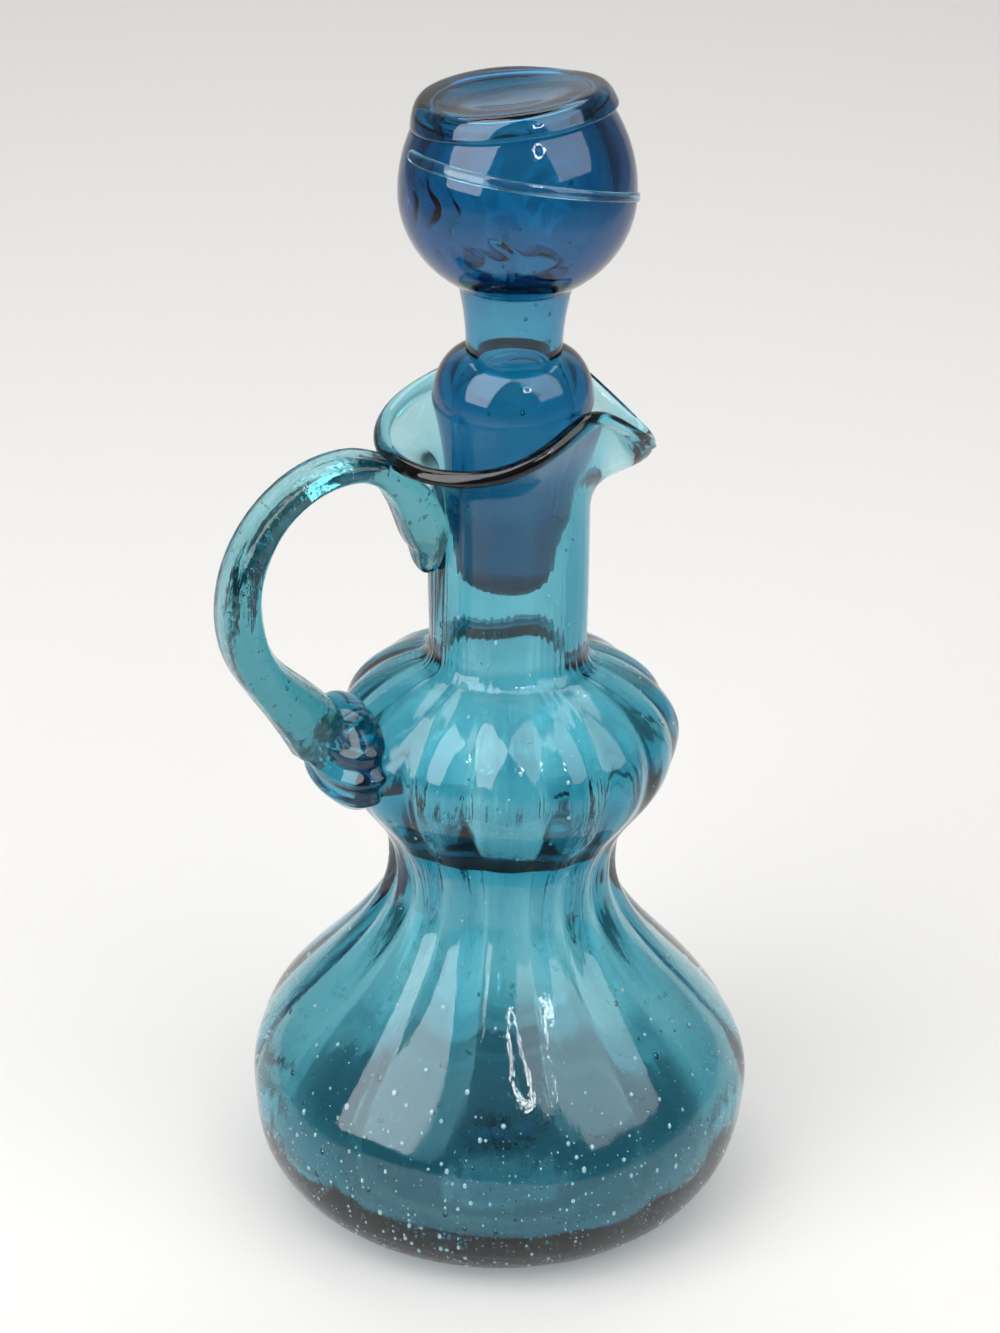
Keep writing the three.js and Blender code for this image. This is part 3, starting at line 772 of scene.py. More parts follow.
class BodyRelief:
    """Flutes, drawn lines and waver of the body, the same on every run."""

    def __init__(self, body):
        rng = np.random.default_rng(7)
        self.body = body
        self.level = heights(body)
        self.drift = ripple(rng, waves=5, turns=(1, 4), pitch=40, size=0.03)
        self.uneven = ripple(rng, waves=5, turns=(2, 7), pitch=25, size=0.35)
        self.lines = ripple(rng, waves=40, turns=(24, 96), pitch=6, size=0.065 * MM)
        self.waver = ripple(rng, waves=8, turns=(2, 5), pitch=90, size=0.42 * MM)

    def flute(self, bearing, z):
        body, level = self.body, self.level
        at_neck = smoothstep(z, level.crown - body.flute_fade, level.crown + body.flute_fade / 2)
        at_belly = np.exp(-(((z - body.lower_bulb_height) / BELLY_REACH) ** 2))
        share = smoothstep(z, 0, body.lower_bulb_height) * (1 - at_neck) * (1 - BELLY_FADE * at_belly)
        wave = np.cos((bearing + self.drift(bearing, z)) * body.flutes / 2)
        rib = 2 * np.sqrt(wave**2 + RIB_ROUND) - RIB_SINK
        return body.flute_depth * share * rib * (1 + self.uneven(bearing, z))

    def outer(self, bearing, z):
        body, level = self.body, self.level
        on_neck = smoothstep(z, level.crown, level.crown + LINE_RUN)
        free = smoothstep(z, 0, body.lower_bulb_height) * (1 - smoothstep(z, level.neck_top, level.lip))
        drawn = self.lines(bearing, z) * free * (1 - NECK_LINE_FADE * on_neck)
        slope = smoothstep(z, body.lower_bulb_height * SLOPE_START, level.waist)
        hollow = smoothstep(z, level.waist, level.waist + LINE_RUN)
        hollow = hollow * (1 - smoothstep(z, level.bulb - HOLLOW_BELOW, level.bulb + HOLLOW_ABOVE))
        smooth = (BELLY_SHARE + SLOPE_SHARE * slope) * (1 - HOLLOW_FADE * hollow)
        return (self.flute(bearing, z) + drawn) * smooth + self.waver(bearing, z) * free

    def inner(self, bearing, z):
        body, level = self.body, self.level
        free = smoothstep(z, 0, body.lower_bulb_height) * (1 - smoothstep(z, level.crown, level.neck_top))
        lines = self.lines(bearing + INNER_TURN, z) * free * INNER_LINES
        return INNER_FLUTE * self.flute(bearing, z) + lines


def shape_lip(body, points):
    """Spout, rises beside it, slip and lean of the lip."""
    level = heights(body)
    x, y, z = np.moveaxis(points, -1, 0)
    bearing = np.arctan2(y, x)
    radius = np.hypot(x, y)
    rise = np.clip((z - level.neck_top) / body.flare_rise, 0, 1)
    share = smoothstep(rise, 0, 1)
    spout = bump(bearing, body.spout_bearing, body.spout_half)
    pinch = bump(bearing, body.spout_bearing + body.pinch_bearing, body.pinch_half)
    pinch = pinch + bump(bearing, body.spout_bearing - body.pinch_bearing, body.pinch_half)
    slope = x * math.tan(body.lip_tip) + y * math.tan(body.lip_lean)
    lift = body.pinch_lift * pinch - body.spout_drop * spout + slope
    scale = (radius + body.spout_reach * spout * share) / radius
    slip = body.lip_offset * rise**body.lip_curl
    return np.stack([x * scale - slip, y * scale, z + lift * share], axis=-1)


def body_radius(body, relief, bearing, z):
    """Outside radius of the body on the handle's side."""
    profile = outer_profile(body)
    side = shape_lip(body, np.stack([-profile[:, 0], 0 * profile[:, 0], profile[:, 1]], axis=-1)[1:])
    return np.interp(z, side[:, 2], -side[:, 0]) + relief.outer(bearing, z)


def relieved(grid, offset):
    """Rings of points moved in or out by an offset of bearing and height."""
    x, y, z = np.moveaxis(grid, -1, 0)
    radius = np.hypot(x, y)
    scale = 1 + offset(np.arctan2(y, x), z) / radius
    return np.stack([x * scale, y * scale, z], axis=-1)


def pontil_scar(body, outside, rng):
    """Depth of the rough scar that the rod left under the foot."""
    near = np.clip(1 - np.hypot(outside[..., 0], outside[..., 1]) / body.pontil_radius, 0, 1)
    near = np.where(outside[..., 2] < body.floor_thickness / 2, near, 0)
    rough = rng.uniform(*SCAR_ROUGH, near.shape)
    return smoothstep(near, 0, SCAR_EDGE) * rough * body.foot_kick / SCAR_PART


def seed_chance(z):
    """How likely a seed is at a height."""
    return SEED_ELSEWHERE + np.exp(-(((z - SEED_HEIGHT) / SEED_SPREAD) ** 2))


class GENIE_OT_body(bpy.types.Operator):
    """Blow the double bulb with its neck, trumpet lip and spout"""

    bl_idname = "genie.body"
    bl_label = "Blow Body"

    def execute(self, context):
        body, looks = context.scene.genie_body, context.scene.genie_looks
        sides = body.flutes * SIDES_PER_FLUTE
        relief = BodyRelief(body)
        outer, inner = outer_profile(body), inner_profile(body)
        outside = shape_lip(body, relieved(turned_grid(outer[1:], sides), relief.outer))
        inside = shape_lip(body, relieved(turned_grid(inner[1:], sides), relief.inner))[::-1]
        bead = shape_lip(body, turned_grid(bead_profile(body)[1:-1], sides))
        rng = np.random.default_rng(11)
        outside[..., 2] -= pontil_scar(body, outside, rng)
        ends = np.array([0, 0, outer[0, 1]]), np.array([0, 0, inner[0, 1]])
        wall = skin(np.concatenate([outside, bead, inside]), *ends)
        below_lip = outside[outer[1:, 1] < heights(body).neck_top]
        room = body.lower_wall * SEED_DEPTH
        clear = seeds_in(below_lip, room, rng, body.seeds, seed_chance, CLEAR_SEED, clear=True)
        glints = seeds_in(below_lip, room, rng, body.glint_seeds, seed_chance, GLINT_SEED, clear=False)
        glass = blown_glass(
            "Aqua blown glass",
            looks.body_colour,
            looks.body_density,
            streak=(0.93, 0.97, 0.98),
            finish=(0.03, 0.09),
            grain_height=0.2,
        )
        # The pale seeds get a white, faintly glowing skin: painted glints
        skins = [(*wall, glass), (*clear, glass), (*glints, seed_glint())]
        glass_piece("bottle_glass", skins, "bottle", "bottle_glass", "bottle_body")
        return {"FINISHED"}


# Handle

STRAP_RINGS, STRAP_SIDES = 200, 48
PAD_RINGS, PAD_SIDES = 72, 96

# Shares of the strap's length over which one size gives way to the next
STRAP_CHANGES = (0, 0.22), (0.22, 0.6), (0.72, 0.9), (0.9, 1)
TAIL_TIP_START = 0.97
TAIL_TIP_RUN = 0.03
TIP_LEAST = 0.02

# Section of the strap: how square it is, its swollen edges and the lines along it
SQUARE_THICK = 0.75
SQUARE_WIDE = 0.9
EDGE_SWELL = 0.16
LINE_CROWDING = 11
LINE_DRIFT = 3
LINE_TURNS = 9
SWAY = 0.7 * MM
SWAY_TURNS = 7.5
SWAY_START = 0.6

# How the strap's lower end is brought back to the pad
PAD_CLEAR = 0.05
PAD_SEARCH = 8 * MM
PAD_SEARCH_STEPS = 97
PAD_MISSED = 2.5 * MM
END_RIMS = 0.02, 0.3, 0.55, 0.8
END_BLEND_RINGS = 16

STRAP_SEED = 0.1 * MM, 0.34 * MM
STRAP_SEED_DEPTH = 3 * MM


def strap_line(handle, body):
    """Middle of the strap as distance from the axis and height."""
    level = heights(body)
    top = level.lip - handle.drop_from_lip
    bend = level.bulb + handle.bend_height
    root = level.bulb + handle.root_rise
    tail = body.neck_radius + handle.tail_stand
    start = (body.upper_bulb_radius + handle.pad_stand / 2, root)
    return path(
        start,
        bezier(
            start,
            (handle.root_reach, root + handle.root_run),
            (handle.reach, bend - handle.bend_run),
            (handle.reach, bend),
            steps=60,
        ),
        arc((handle.crown_reach, bend), handle.reach - handle.crown_reach, top - bend, 0, math.pi / 2, 50),
        bezier(
            (handle.crown_reach, top),
            (handle.crown_reach - handle.tail_crown_run, top),
            (tail + handle.tail_bend_lean, top - handle.tail_drop + handle.tail_bend_run),
            (tail, top - handle.tail_drop),
            steps=50,
        ),
        bezier((tail, top - handle.tail_drop), (tail, top - handle.tail_length), steps=20),
    )


def evenly(points, amount):
    """Points at even distances along a line, with its direction at each."""
    gone = np.concatenate([[0], np.cumsum(np.linalg.norm(np.diff(points, axis=0), axis=1))])
    at = np.linspace(0, gone[-1], amount)
    even = np.stack([np.interp(at, gone, points[:, i]) for i in range(points.shape[1])], axis=1)
    ahead = np.gradient(even, axis=0)
    return even, ahead / np.linalg.norm(ahead, axis=1)[:, None]


def strap_size(sizes, share):
    """Size of the strap at a share of its length."""
    at, *later = sizes
    for size, (start, end) in zip(later, STRAP_CHANGES):
        at = at + (size - at) * smoothstep(share, start, end)
    return at


def squared(wave, power):
    """A wave with blunter crests, for a flattened section."""
    return np.sign(wave) * np.abs(wave) ** power


def kept_outside(points, body, relief, gap):
    """Points pushed out of the body's glass, onto its outer skin."""
    x, y, z = np.moveaxis(points, -1, 0)
    bearing = np.arctan2(y, x)
    radius = np.hypot(x, y)
    least = body_radius(body, relief, bearing, z) + gap
    scale = np.maximum(1, least / np.maximum(radius, MM))
    return np.stack([x * scale, y * scale, z], axis=-1)


def pad_fold(handle, height, bearing):
    """Depth of the crimps over the pad, from its lower end at -1 to its upper end at 1."""
    fold = np.cos(math.pi * handle.pad_crimps * height + 0.5 * np.sin(bearing * 2))
    return handle.pad_crimp_depth * np.sqrt(1 - height**2) * fold


def outside_pad(handle, body, points):
    """Above zero outside the crimped pad, below zero inside it."""
    x, y, z = np.moveaxis(points, -1, 0)
    out = x + body.upper_bulb_radius
    height = np.clip((z - heights(body).bulb - handle.pad_rise) / handle.pad_half_height, -1, 1)
    fold = pad_fold(handle, height, np.arctan2(y / handle.pad_half_width, out / handle.pad_stand))
    reach = np.hypot(out / (handle.pad_stand + fold), y / (handle.pad_half_width + fold))
    return reach - np.sqrt(1 - height**2)


def back_to_pad(handle, body, points, ahead):
    """Points moved back along the strap until they rest on the pad."""
    steps = np.linspace(0, PAD_SEARCH, PAD_SEARCH_STEPS)
    trail = points - steps[:, None, None] * ahead
    inside = outside_pad(handle, body, trail) < handle.join_gap / handle.pad_stand
    last = np.maximum(np.argmax(inside, axis=0) - 1, 0)
    run = np.where(inside.any(axis=0), steps[last], PAD_MISSED)
    return points - run[:, None] * ahead


def strap_grid(handle, body):
    """Rings of the strap from the pad to the tail's tip."""
    line, ahead = evenly(strap_line(handle, body), STRAP_RINGS)
    share = np.linspace(0, 1, STRAP_RINGS)
    past = np.clip(share - TAIL_TIP_START, 0, 1) / TAIL_TIP_RUN
    tip = np.sqrt(np.clip(1 - past**2, TIP_LEAST, 1))
    width = (strap_size(handle.widths, share) * tip)[:, None]
    thick = (strap_size(handle.thicknesses, share) * tip)[:, None]
    angle = np.linspace(0, FULL_TURN, STRAP_SIDES, endpoint=False)
    across = squared(np.cos(angle), SQUARE_THICK)
    side = squared(np.sin(angle), SQUARE_WIDE)
    drift = LINE_DRIFT * np.sin(share * LINE_TURNS)[:, None]
    lines = handle.line_depth * np.cos(side * LINE_CROWDING + drift) * across
    swell = 1 + EDGE_SWELL * (side**2 - 0.5)
    off = thick / 2 * across * swell + lines * tip[:, None]
    sway = SWAY * np.sin(share * SWAY_TURNS + SWAY_START)[:, None]
    reach = line[:, :1] - off * ahead[:, 1:]
    rise = line[:, 1:] + off * ahead[:, :1]
    grid = np.stack([-reach, width / 2 * side + sway, rise], axis=-1)
    forward = np.stack([-ahead[:, 0], 0 * share, ahead[:, 1]], axis=-1)
    first = np.argmax((outside_pad(handle, body, grid) > PAD_CLEAR).all(axis=1))
    grid, forward = grid[first:], forward[first]
    middle = grid[0].mean(axis=0)
    rims = [middle + part * (grid[0] - middle) for part in END_RIMS]
    end = [back_to_pad(handle, body, rim, forward) for rim in rims]
    back = back_to_pad(handle, body, grid[0], forward) - grid[0]
    grid = grid + np.clip(1 - np.arange(len(grid)) / END_BLEND_RINGS, 0, 1)[:, None, None] * back
    return np.concatenate([end, grid])


def strap_skin(handle, body, relief):
    grid = kept_outside(strap_grid(handle, body), body, relief, handle.join_gap)
    return outward(*skin(grid, grid[0].mean(axis=0), grid[-1].mean(axis=0)))


def strap_seeds(handle, body):
    """Small bubbles drawn into the strap."""
    grid = strap_grid(handle, body)[12:-20]
    normal = np.cross(np.roll(grid, -1, axis=1) - np.roll(grid, 1, axis=1), np.gradient(grid, axis=0))
    spread = grid - grid.mean(axis=1)[:, None]
    if np.einsum("ijk,ijk->", normal, spread) < 0:
        grid = grid[:, ::-1]
    rng = np.random.default_rng(19)
    room = STRAP_SEED_DEPTH
    return seeds_in(grid, room, rng, handle.seeds, np.ones_like, STRAP_SEED, clear=True)


def pad_skin(handle, body, relief):
    level = heights(body)
    height = -np.cos(np.linspace(0, math.pi, PAD_RINGS + 2)[1:-1])[:, None]
    bearing = np.linspace(0, FULL_TURN, PAD_SIDES, endpoint=False)
    swell = np.sqrt(1 - height**2)
    fold = pad_fold(handle, height, bearing)
    x = -body.upper_bulb_radius + np.cos(bearing) * swell * (handle.pad_stand + fold)
    y = np.sin(bearing) * swell * (handle.pad_half_width + fold)
    z = np.repeat(level.bulb + handle.pad_rise + height * handle.pad_half_height, PAD_SIDES, axis=1)
    grid = kept_outside(np.stack([x, y, z], axis=-1), body, relief, handle.join_gap)
    return outward(*skin(grid, grid[0].mean(axis=0), grid[-1].mean(axis=0)))


class GENIE_OT_handle(bpy.types.Operator):
    """Draw the strap handle and crimp its pad"""

    bl_idname = "genie.handle"
    bl_label = "Draw Handle"

    def execute(self, context):
        scene = context.scene
        body, handle, looks = scene.genie_body, scene.genie_handle, scene.genie_looks
        relief = BodyRelief(body)
        glass = blown_glass(
            "Drawn handle glass",
            looks.handle_colour,
            looks.handle_density,
            streak=(0.9, 0.95, 0.97),
            finish=(0.05, 0.1),
            bump_height=1.2 * MM,
            streaks=700,
            waver=240,
            grain_height=0.12,
        )
        lump = blown_glass(
            "Crimped pad glass",
            looks.body_colour,
            looks.pad_density,
            streak=(0.9, 0.95, 0.97),
            finish=(0.02, 0.05),
            streaks=300,
        )
        strap = strap_skin(handle, body, relief)
        pad = pad_skin(handle, body, relief)
        skins = [(*strap, glass), (*strap_seeds(handle, body), glass)]
        glass_piece("strap_glass", skins, "bottle", "handle_glass", "handle_strap")
        glass_piece("pad_glass", [(*pad, lump)], "bottle", "handle_glass", "handle_pad")
        return {"FINISHED"}


# Stopper

STOPPER_SIDES = 160
STOPPER_SEED = 0.1 * MM, 0.42 * MM
KNOB_CROWN_RINGS = 24
JOINT_TRIES = 40

# Lumps inside the knob: bearing and half width in degrees, height and run in mm
KNOB_LUMPS = (-152, 30, 0, 7), (-120, 9, -2, 4), (40, 40, -2, 8)
LONG_DRIP = -121, 6, -10, 5
LONG_DRIP_SIZE = 0.8 * MM

# Flattened bit: how far its top is lifted, and shares of the dimple where its curves bend
CAP_LIFT = 0.45 * MM
UNDER_BENDS = 0.6, 0.8
DIMPLE_BENDS = 0.7, 0.6

# Thread: half width, stand and half height in shares of its radius, and how late its ends close
TRAIL_RINGS, TRAIL_SIDES = 120, 20
TRAIL_HALF_WIDTH = 1.3
TRAIL_STAND = 0.42
TRAIL_HALF_HEIGHT = 0.34
TRAIL_END = 24

# Ground band of the plug: heights from the seat where it is full and ends, and its roughness
GROUND_FULL = -2 * MM
GROUND_END = 8 * MM
GROUND_ROUGHNESS = 0.3


def seat_radius(stopper, body):
    """Outside of the plug at the top of the neck."""
    return body.neck_radius - body.neck_wall - stopper.seat_gap


def stopper_heights(stopper):
    crease = stopper.shoulder_rise + stopper.shoulder_dome
    knob_neck = stopper.neck_radius + stopper.neck_flare
    low = math.acos(knob_neck / stopper.knob_radius)
    knob = crease + stopper.neck_length + stopper.knob_lower_half * math.sin(low)
    high = math.acos(stopper.cap_seat_radius / stopper.knob_radius)
    top = knob + stopper.knob_upper_half * math.sin(high)
    return SimpleNamespace(crease=crease, knob_neck=knob_neck, knob=knob, top=top)


def stopper_profile(stopper, body, plug_wall, neck_wall, knob_wall):
    """Skin of the stopper set in by its walls, from the plug's tip to the knob's widest ring."""
    level = stopper_heights(stopper)
    tip = stopper.plug_tip_radius - plug_wall
    tip_top = stopper.plug_tip_round - stopper.plug_depth
    seat = seat_radius(stopper, body) - plug_wall
    shoulder = stopper.shoulder_radius - plug_wall
    neck = stopper.neck_radius - neck_wall
    knob_neck = level.knob_neck - neck_wall
    knob = stopper.knob_radius - knob_wall
    crease = level.crease - plug_wall / 2
    lower = stopper.knob_lower_half - knob_wall
    low = -math.acos(knob_neck / knob)
    knob_low = level.knob + lower * math.sin(low)
    return path(
        (0, plug_wall - stopper.plug_depth),
        arc((0, tip_top), tip, stopper.plug_tip_round - plug_wall, -math.pi / 2, 0, 16),
        bezier((tip, tip_top), (seat, 0), steps=8),
        bezier((seat, 0), (seat, stopper.shoulder_rise / 2), (shoulder, stopper.shoulder_rise), steps=18),
        bezier(
            (shoulder, stopper.shoulder_rise),
            (shoulder, stopper.shoulder_rise + stopper.shoulder_round),
            (neck + (shoulder - neck) / 2, crease),
            (neck, crease),
            steps=24,
        ),
        bezier((neck, crease), (neck, (crease + knob_low) / 2), (knob_neck, knob_low), steps=18),
        arc((0, level.knob), knob, lower, low, 0, 26),
    )


def knob_drips(level):
    """Thickness of the lumps and drips that ran down inside the knob."""
    rng = np.random.default_rng(31)
    lumps = ripple(rng, waves=16, turns=(5, 13), pitch=1000, size=1.2 * MM)

    def spread(bearing, z, place, width, middle, run):
        along = np.exp(-(((z - level.knob - middle * MM) / (run * MM)) ** 2))
        return bump(bearing, math.radians(place), math.radians(width)), along

    def at(bearing, z):
        total = 0
        for lump in KNOB_LUMPS:
            across, along = spread(bearing, z, *lump)
            total = total + np.abs(lumps(bearing, z)) * across * along
        across, along = spread(bearing, z, *LONG_DRIP)
        return total + LONG_DRIP_SIZE * across * along

    return at


def cap_turn(stopper):
    return np.array(Matrix.Rotation(-stopper.cap_nod, 3, "X") @ Matrix.Rotation(-stopper.cap_tilt, 3, "Y"))


def cap_middle(stopper):
    """Middle of the flattened bit above the seat."""
    return np.array([-stopper.cap_shift, 0, stopper_heights(stopper).top + stopper.cap_thickness / 2])


def cap_joint_at(stopper, x, y):
    """Height above the seat of the leaning joint between knob and flattened bit."""
    below = stopper.cap_thickness / 2 + stopper.cap_joint_drop
    up = cap_turn(stopper)[:, 2]
    place = cap_middle(stopper) - up * below
    return place[2] - (up[0] * (x - place[0]) + up[1] * (y - place[1])) / up[2]


def knob_crown(stopper, wall, sides):
    """Upper half of the knob set in by a wall, cut off at the joint with the flattened bit."""
    knob = stopper_heights(stopper).knob
    reach, rise = stopper.knob_radius - wall, stopper.knob_upper_half - wall
    bearing = np.linspace(0, FULL_TURN, sides, endpoint=False)
    across = np.stack([np.cos(bearing), np.sin(bearing)])
    high = np.full(sides, 0.5)
    for _ in range(JOINT_TRIES):
        joint = cap_joint_at(stopper, *(reach * np.cos(high) * across)) - stopper.cap_gap / 2
        high = np.arcsin(np.clip((joint - knob) / rise, -1, 1))
    angle = np.linspace(0, 1, KNOB_CROWN_RINGS + 1)[1:, None] * high
    return np.stack([*(reach * np.cos(angle) * across[:, None]), knob + rise * np.sin(angle)], axis=-1)


def stopper_bubble(stopper, body):
    """The blown bubble, open under the flattened bit."""
    sheets, tips = [], []
    for walls in ((0, 0, 0), (stopper.plug_wall, stopper.neck_wall, stopper.knob_wall)):
        profile = stopper_profile(stopper, body, *walls)
        crown = knob_crown(stopper, walls[2], STOPPER_SIDES)
        sheets.append(np.concatenate([turned_grid(profile[1:], STOPPER_SIDES), crown]))
        tips.append(np.array([0, 0, profile[0, 1]]))
    outside, inside = sheets
    drips = knob_drips(stopper_heights(stopper))
    inside = relieved(inside, lambda bearing, z: -drips(bearing, z))[::-1]
    points, faces = skin(np.concatenate([outside, inside]), *tips)
    points[:, 2] += heights(body).neck_top
    return points, faces


def stopper_seeds(stopper, body):
    outer = stopper_profile(stopper, body, 0, 0, 0)
    outer[:, 1] += heights(body).neck_top
    grid = turned_grid(outer[1:-1], 128)
    rng = np.random.default_rng(23)
    room = stopper.neck_wall
    return seeds_in(grid, room, rng, stopper.seeds, np.ones_like, STOPPER_SEED, clear=True)


def cap_skin(stopper, body):
    """The flattened bit, a low bowl turned over on the knob."""
    half, edge, curl = stopper.cap_thickness / 2, stopper.cap_radius, stopper.cap_round
    foot = -half - stopper.cap_joint_drop + stopper.cap_gap / 2
    low, inner = curl / 3, edge - stopper.cap_wall
    top_edge = edge - stopper.cap_slope
    under, dimple = half - stopper.cap_plate, stopper.cap_dimple_radius
    under_low, top_low = under - stopper.cap_dimple, half - stopper.cap_dimple
    under_near, under_far = UNDER_BENDS
    top_far, top_near = DIMPLE_BENDS
    profile = path(
        (0, under_low),
        bezier(
            (0, under_low),
            (dimple * under_near, under_low),
            (dimple * under_far, under),
            (inner - curl, under),
            steps=20,
        ),
        bezier((inner - curl, under), (inner, under), (inner, foot), steps=8),
        bezier((inner, foot), (edge - low, foot), steps=4),
        arc((edge - low, foot + low), low, low, -math.pi / 2, 0, 5),
        bezier(
            (edge, foot + low),
            (top_edge + curl / 4, half - curl / 3),
            (top_edge - curl, half),
            steps=16,
        ),
        bezier((top_edge - curl, half), (dimple, half), steps=4),
        bezier(
            (dimple, half),
            (dimple * top_far, half),
            (dimple * top_near, top_low),
            (0, top_low),
            steps=24,
        ),
    )
    points, faces = turned(profile, STOPPER_SIDES)
    crest = stopper.cap_crest_turn
    back = -points[:, 0] * math.sin(crest) + points[:, 1] * math.cos(crest)
    share = (points[:, 2] - foot) / (half - foot)
    points[:, 2] += share * (CAP_LIFT + stopper.cap_crest * smoothstep(back / edge, 0, 1))
    points = points @ cap_turn(stopper).T + cap_middle(stopper)
    points[:, 2] += heights(body).neck_top
    return outward(points, faces)


def trail_skin(stopper, body):
    level = stopper_heights(stopper)
    share = np.linspace(0, 1, TRAIL_RINGS)
    bearing = stopper.trail_start + stopper.trail_sweep * share
    height = stopper.trail_top + (stopper.trail_bottom - stopper.trail_top) * share**2
    half = np.where(height > 0, stopper.knob_upper_half, stopper.knob_lower_half)
    radius = stopper.knob_radius * np.sqrt(1 - (height / half) ** 2)
    line = np.stack([radius * np.cos(bearing), radius * np.sin(bearing), height], axis=1)
    out = line / np.linalg.norm(line, axis=1)[:, None]
    ahead = np.gradient(line, axis=0)
    side = np.cross(ahead, out)
    side /= np.linalg.norm(side, axis=1)[:, None]
    size = stopper.trail_radius + (stopper.trail_tip_radius - stopper.trail_radius) * share
    size = size * np.sqrt(np.clip(1 - (np.abs(share - 0.5) * 2) ** TRAIL_END, TIP_LEAST, 1))
    angle = np.linspace(0, FULL_TURN, TRAIL_SIDES, endpoint=False)
    across = TRAIL_HALF_WIDTH * np.cos(angle)[None, :, None] * side[:, None]
    proud = (TRAIL_STAND + TRAIL_HALF_HEIGHT * np.sin(angle))[None, :, None] * out[:, None]
    grid = line[:, None] + size[:, None, None] * (across + proud)
    grid[..., 2] += level.knob + heights(body).neck_top
    return outward(*skin(grid, grid[0].mean(axis=0), grid[-1].mean(axis=0)))


class GENIE_OT_stopper(bpy.types.Operator):
    """Blow the stopper, flatten the bit on its knob and trail the thread"""

    bl_idname = "genie.stopper"
    bl_label = "Blow Stopper"

    def execute(self, context):
        scene = context.scene
        body, stopper, looks = scene.genie_body, scene.genie_stopper, scene.genie_looks
        seat = heights(body).neck_top
        blue = dict(tint=looks.stopper_colour, density=looks.stopper_density, streak=(0.9, 0.95, 0.99))
        haze = (seat + GROUND_FULL, seat + GROUND_END, GROUND_ROUGHNESS)
        glass = blown_glass("Deep blue blown glass", **blue, finish=(0.02, 0.05), streaks=180, haze=haze)
        trim = blown_glass("Deep blue trailed glass", **blue, finish=(0.03, 0.05), streaks=240)
        bubble = [(*stopper_bubble(stopper, body), glass), (*stopper_seeds(stopper, body), glass)]
        cap = [(*cap_skin(stopper, body), trim)]
        trail = [(*trail_skin(stopper, body), trim)]
        glass_piece("bubble_glass", bubble, "stopper", "stopper_glass", "stopper_bubble")
        glass_piece("cap_glass", cap, "stopper", "stopper_glass", "stopper_cap")
        glass_piece("trail_glass", trail, "stopper", "stopper_glass", "stopper_trail")
        return {"FINISHED"}


# Stage

# Floor: its flat disc, the sweep up to the wall, the wall's top and how it dims; towards the front and
# sides its glow drops and its colour is darkened as painted shade
FLOOR_MIDDLE = 0.2
FLOOR_FLAT = 1.9
FLOOR_SWEEP = 0.8
WALL_TOP = 2.4
FLOOR_SIDES = 96
FADE_START = 0.3
FADE_END = 0.8
FADE_SIDE_SLOPE = 2
FADE_SIDE_OFFSET = -0.5
# Share of the floor colour kept where it is darkened as painted shade
PAINTED_SHADE_PAPER = 0.5
PAPER_GLOW = 1.0, 0.985, 0.965
DIM_GLOW = 0.5, 0.49, 0.48
PAPER_ROUGHNESS = 0.8

# Ring light: radii, height in the view and distance
RING_RADIUS = 0.065
RING_TUBE = 0.007
RING_TURNS, RING_SIDES = 64, 10
RING_ELEVATION = math.radians(44)
RING_DISTANCE = 0.8

# Bearing from the camera and elevation in degrees, distance and size in metres
SOFTBOXES = {
    "softbox_left": (-53, 42, 1.0, (0.75, 1.35)),
    "softbox_right": (59, 50, 1.0, (0.75, 1.2)),
    "backdrop_light": (180, 62, 2.0, (2.2, 1.2)),
}
LIGHT_BASE = 0.1
BACKDROP_REACH = 1.3

SKY_COLOUR = 1.0, 0.985, 0.96
SKY_LOW_SHARE = 0.5
GLASS_BOUNCES = 32
GLOSS_BOUNCES = 12


def around(bearing, elevation, distance, height):
    """A point round the bottle; bearing 0 is straight in front of it, towards -Y."""
    level = math.cos(elevation) * distance
    rise = height + math.sin(elevation) * distance
    return Vector((math.sin(bearing) * level, -math.cos(bearing) * level, rise))


def aimed(place, target):
    return (target - place).to_track_quat("-Z", "Y").to_matrix().to_4x4()


def stage_object(name, data):
    thing = bpy.data.objects.new(name, data)
    bpy.context.scene.collection.objects.link(thing)
    return thing


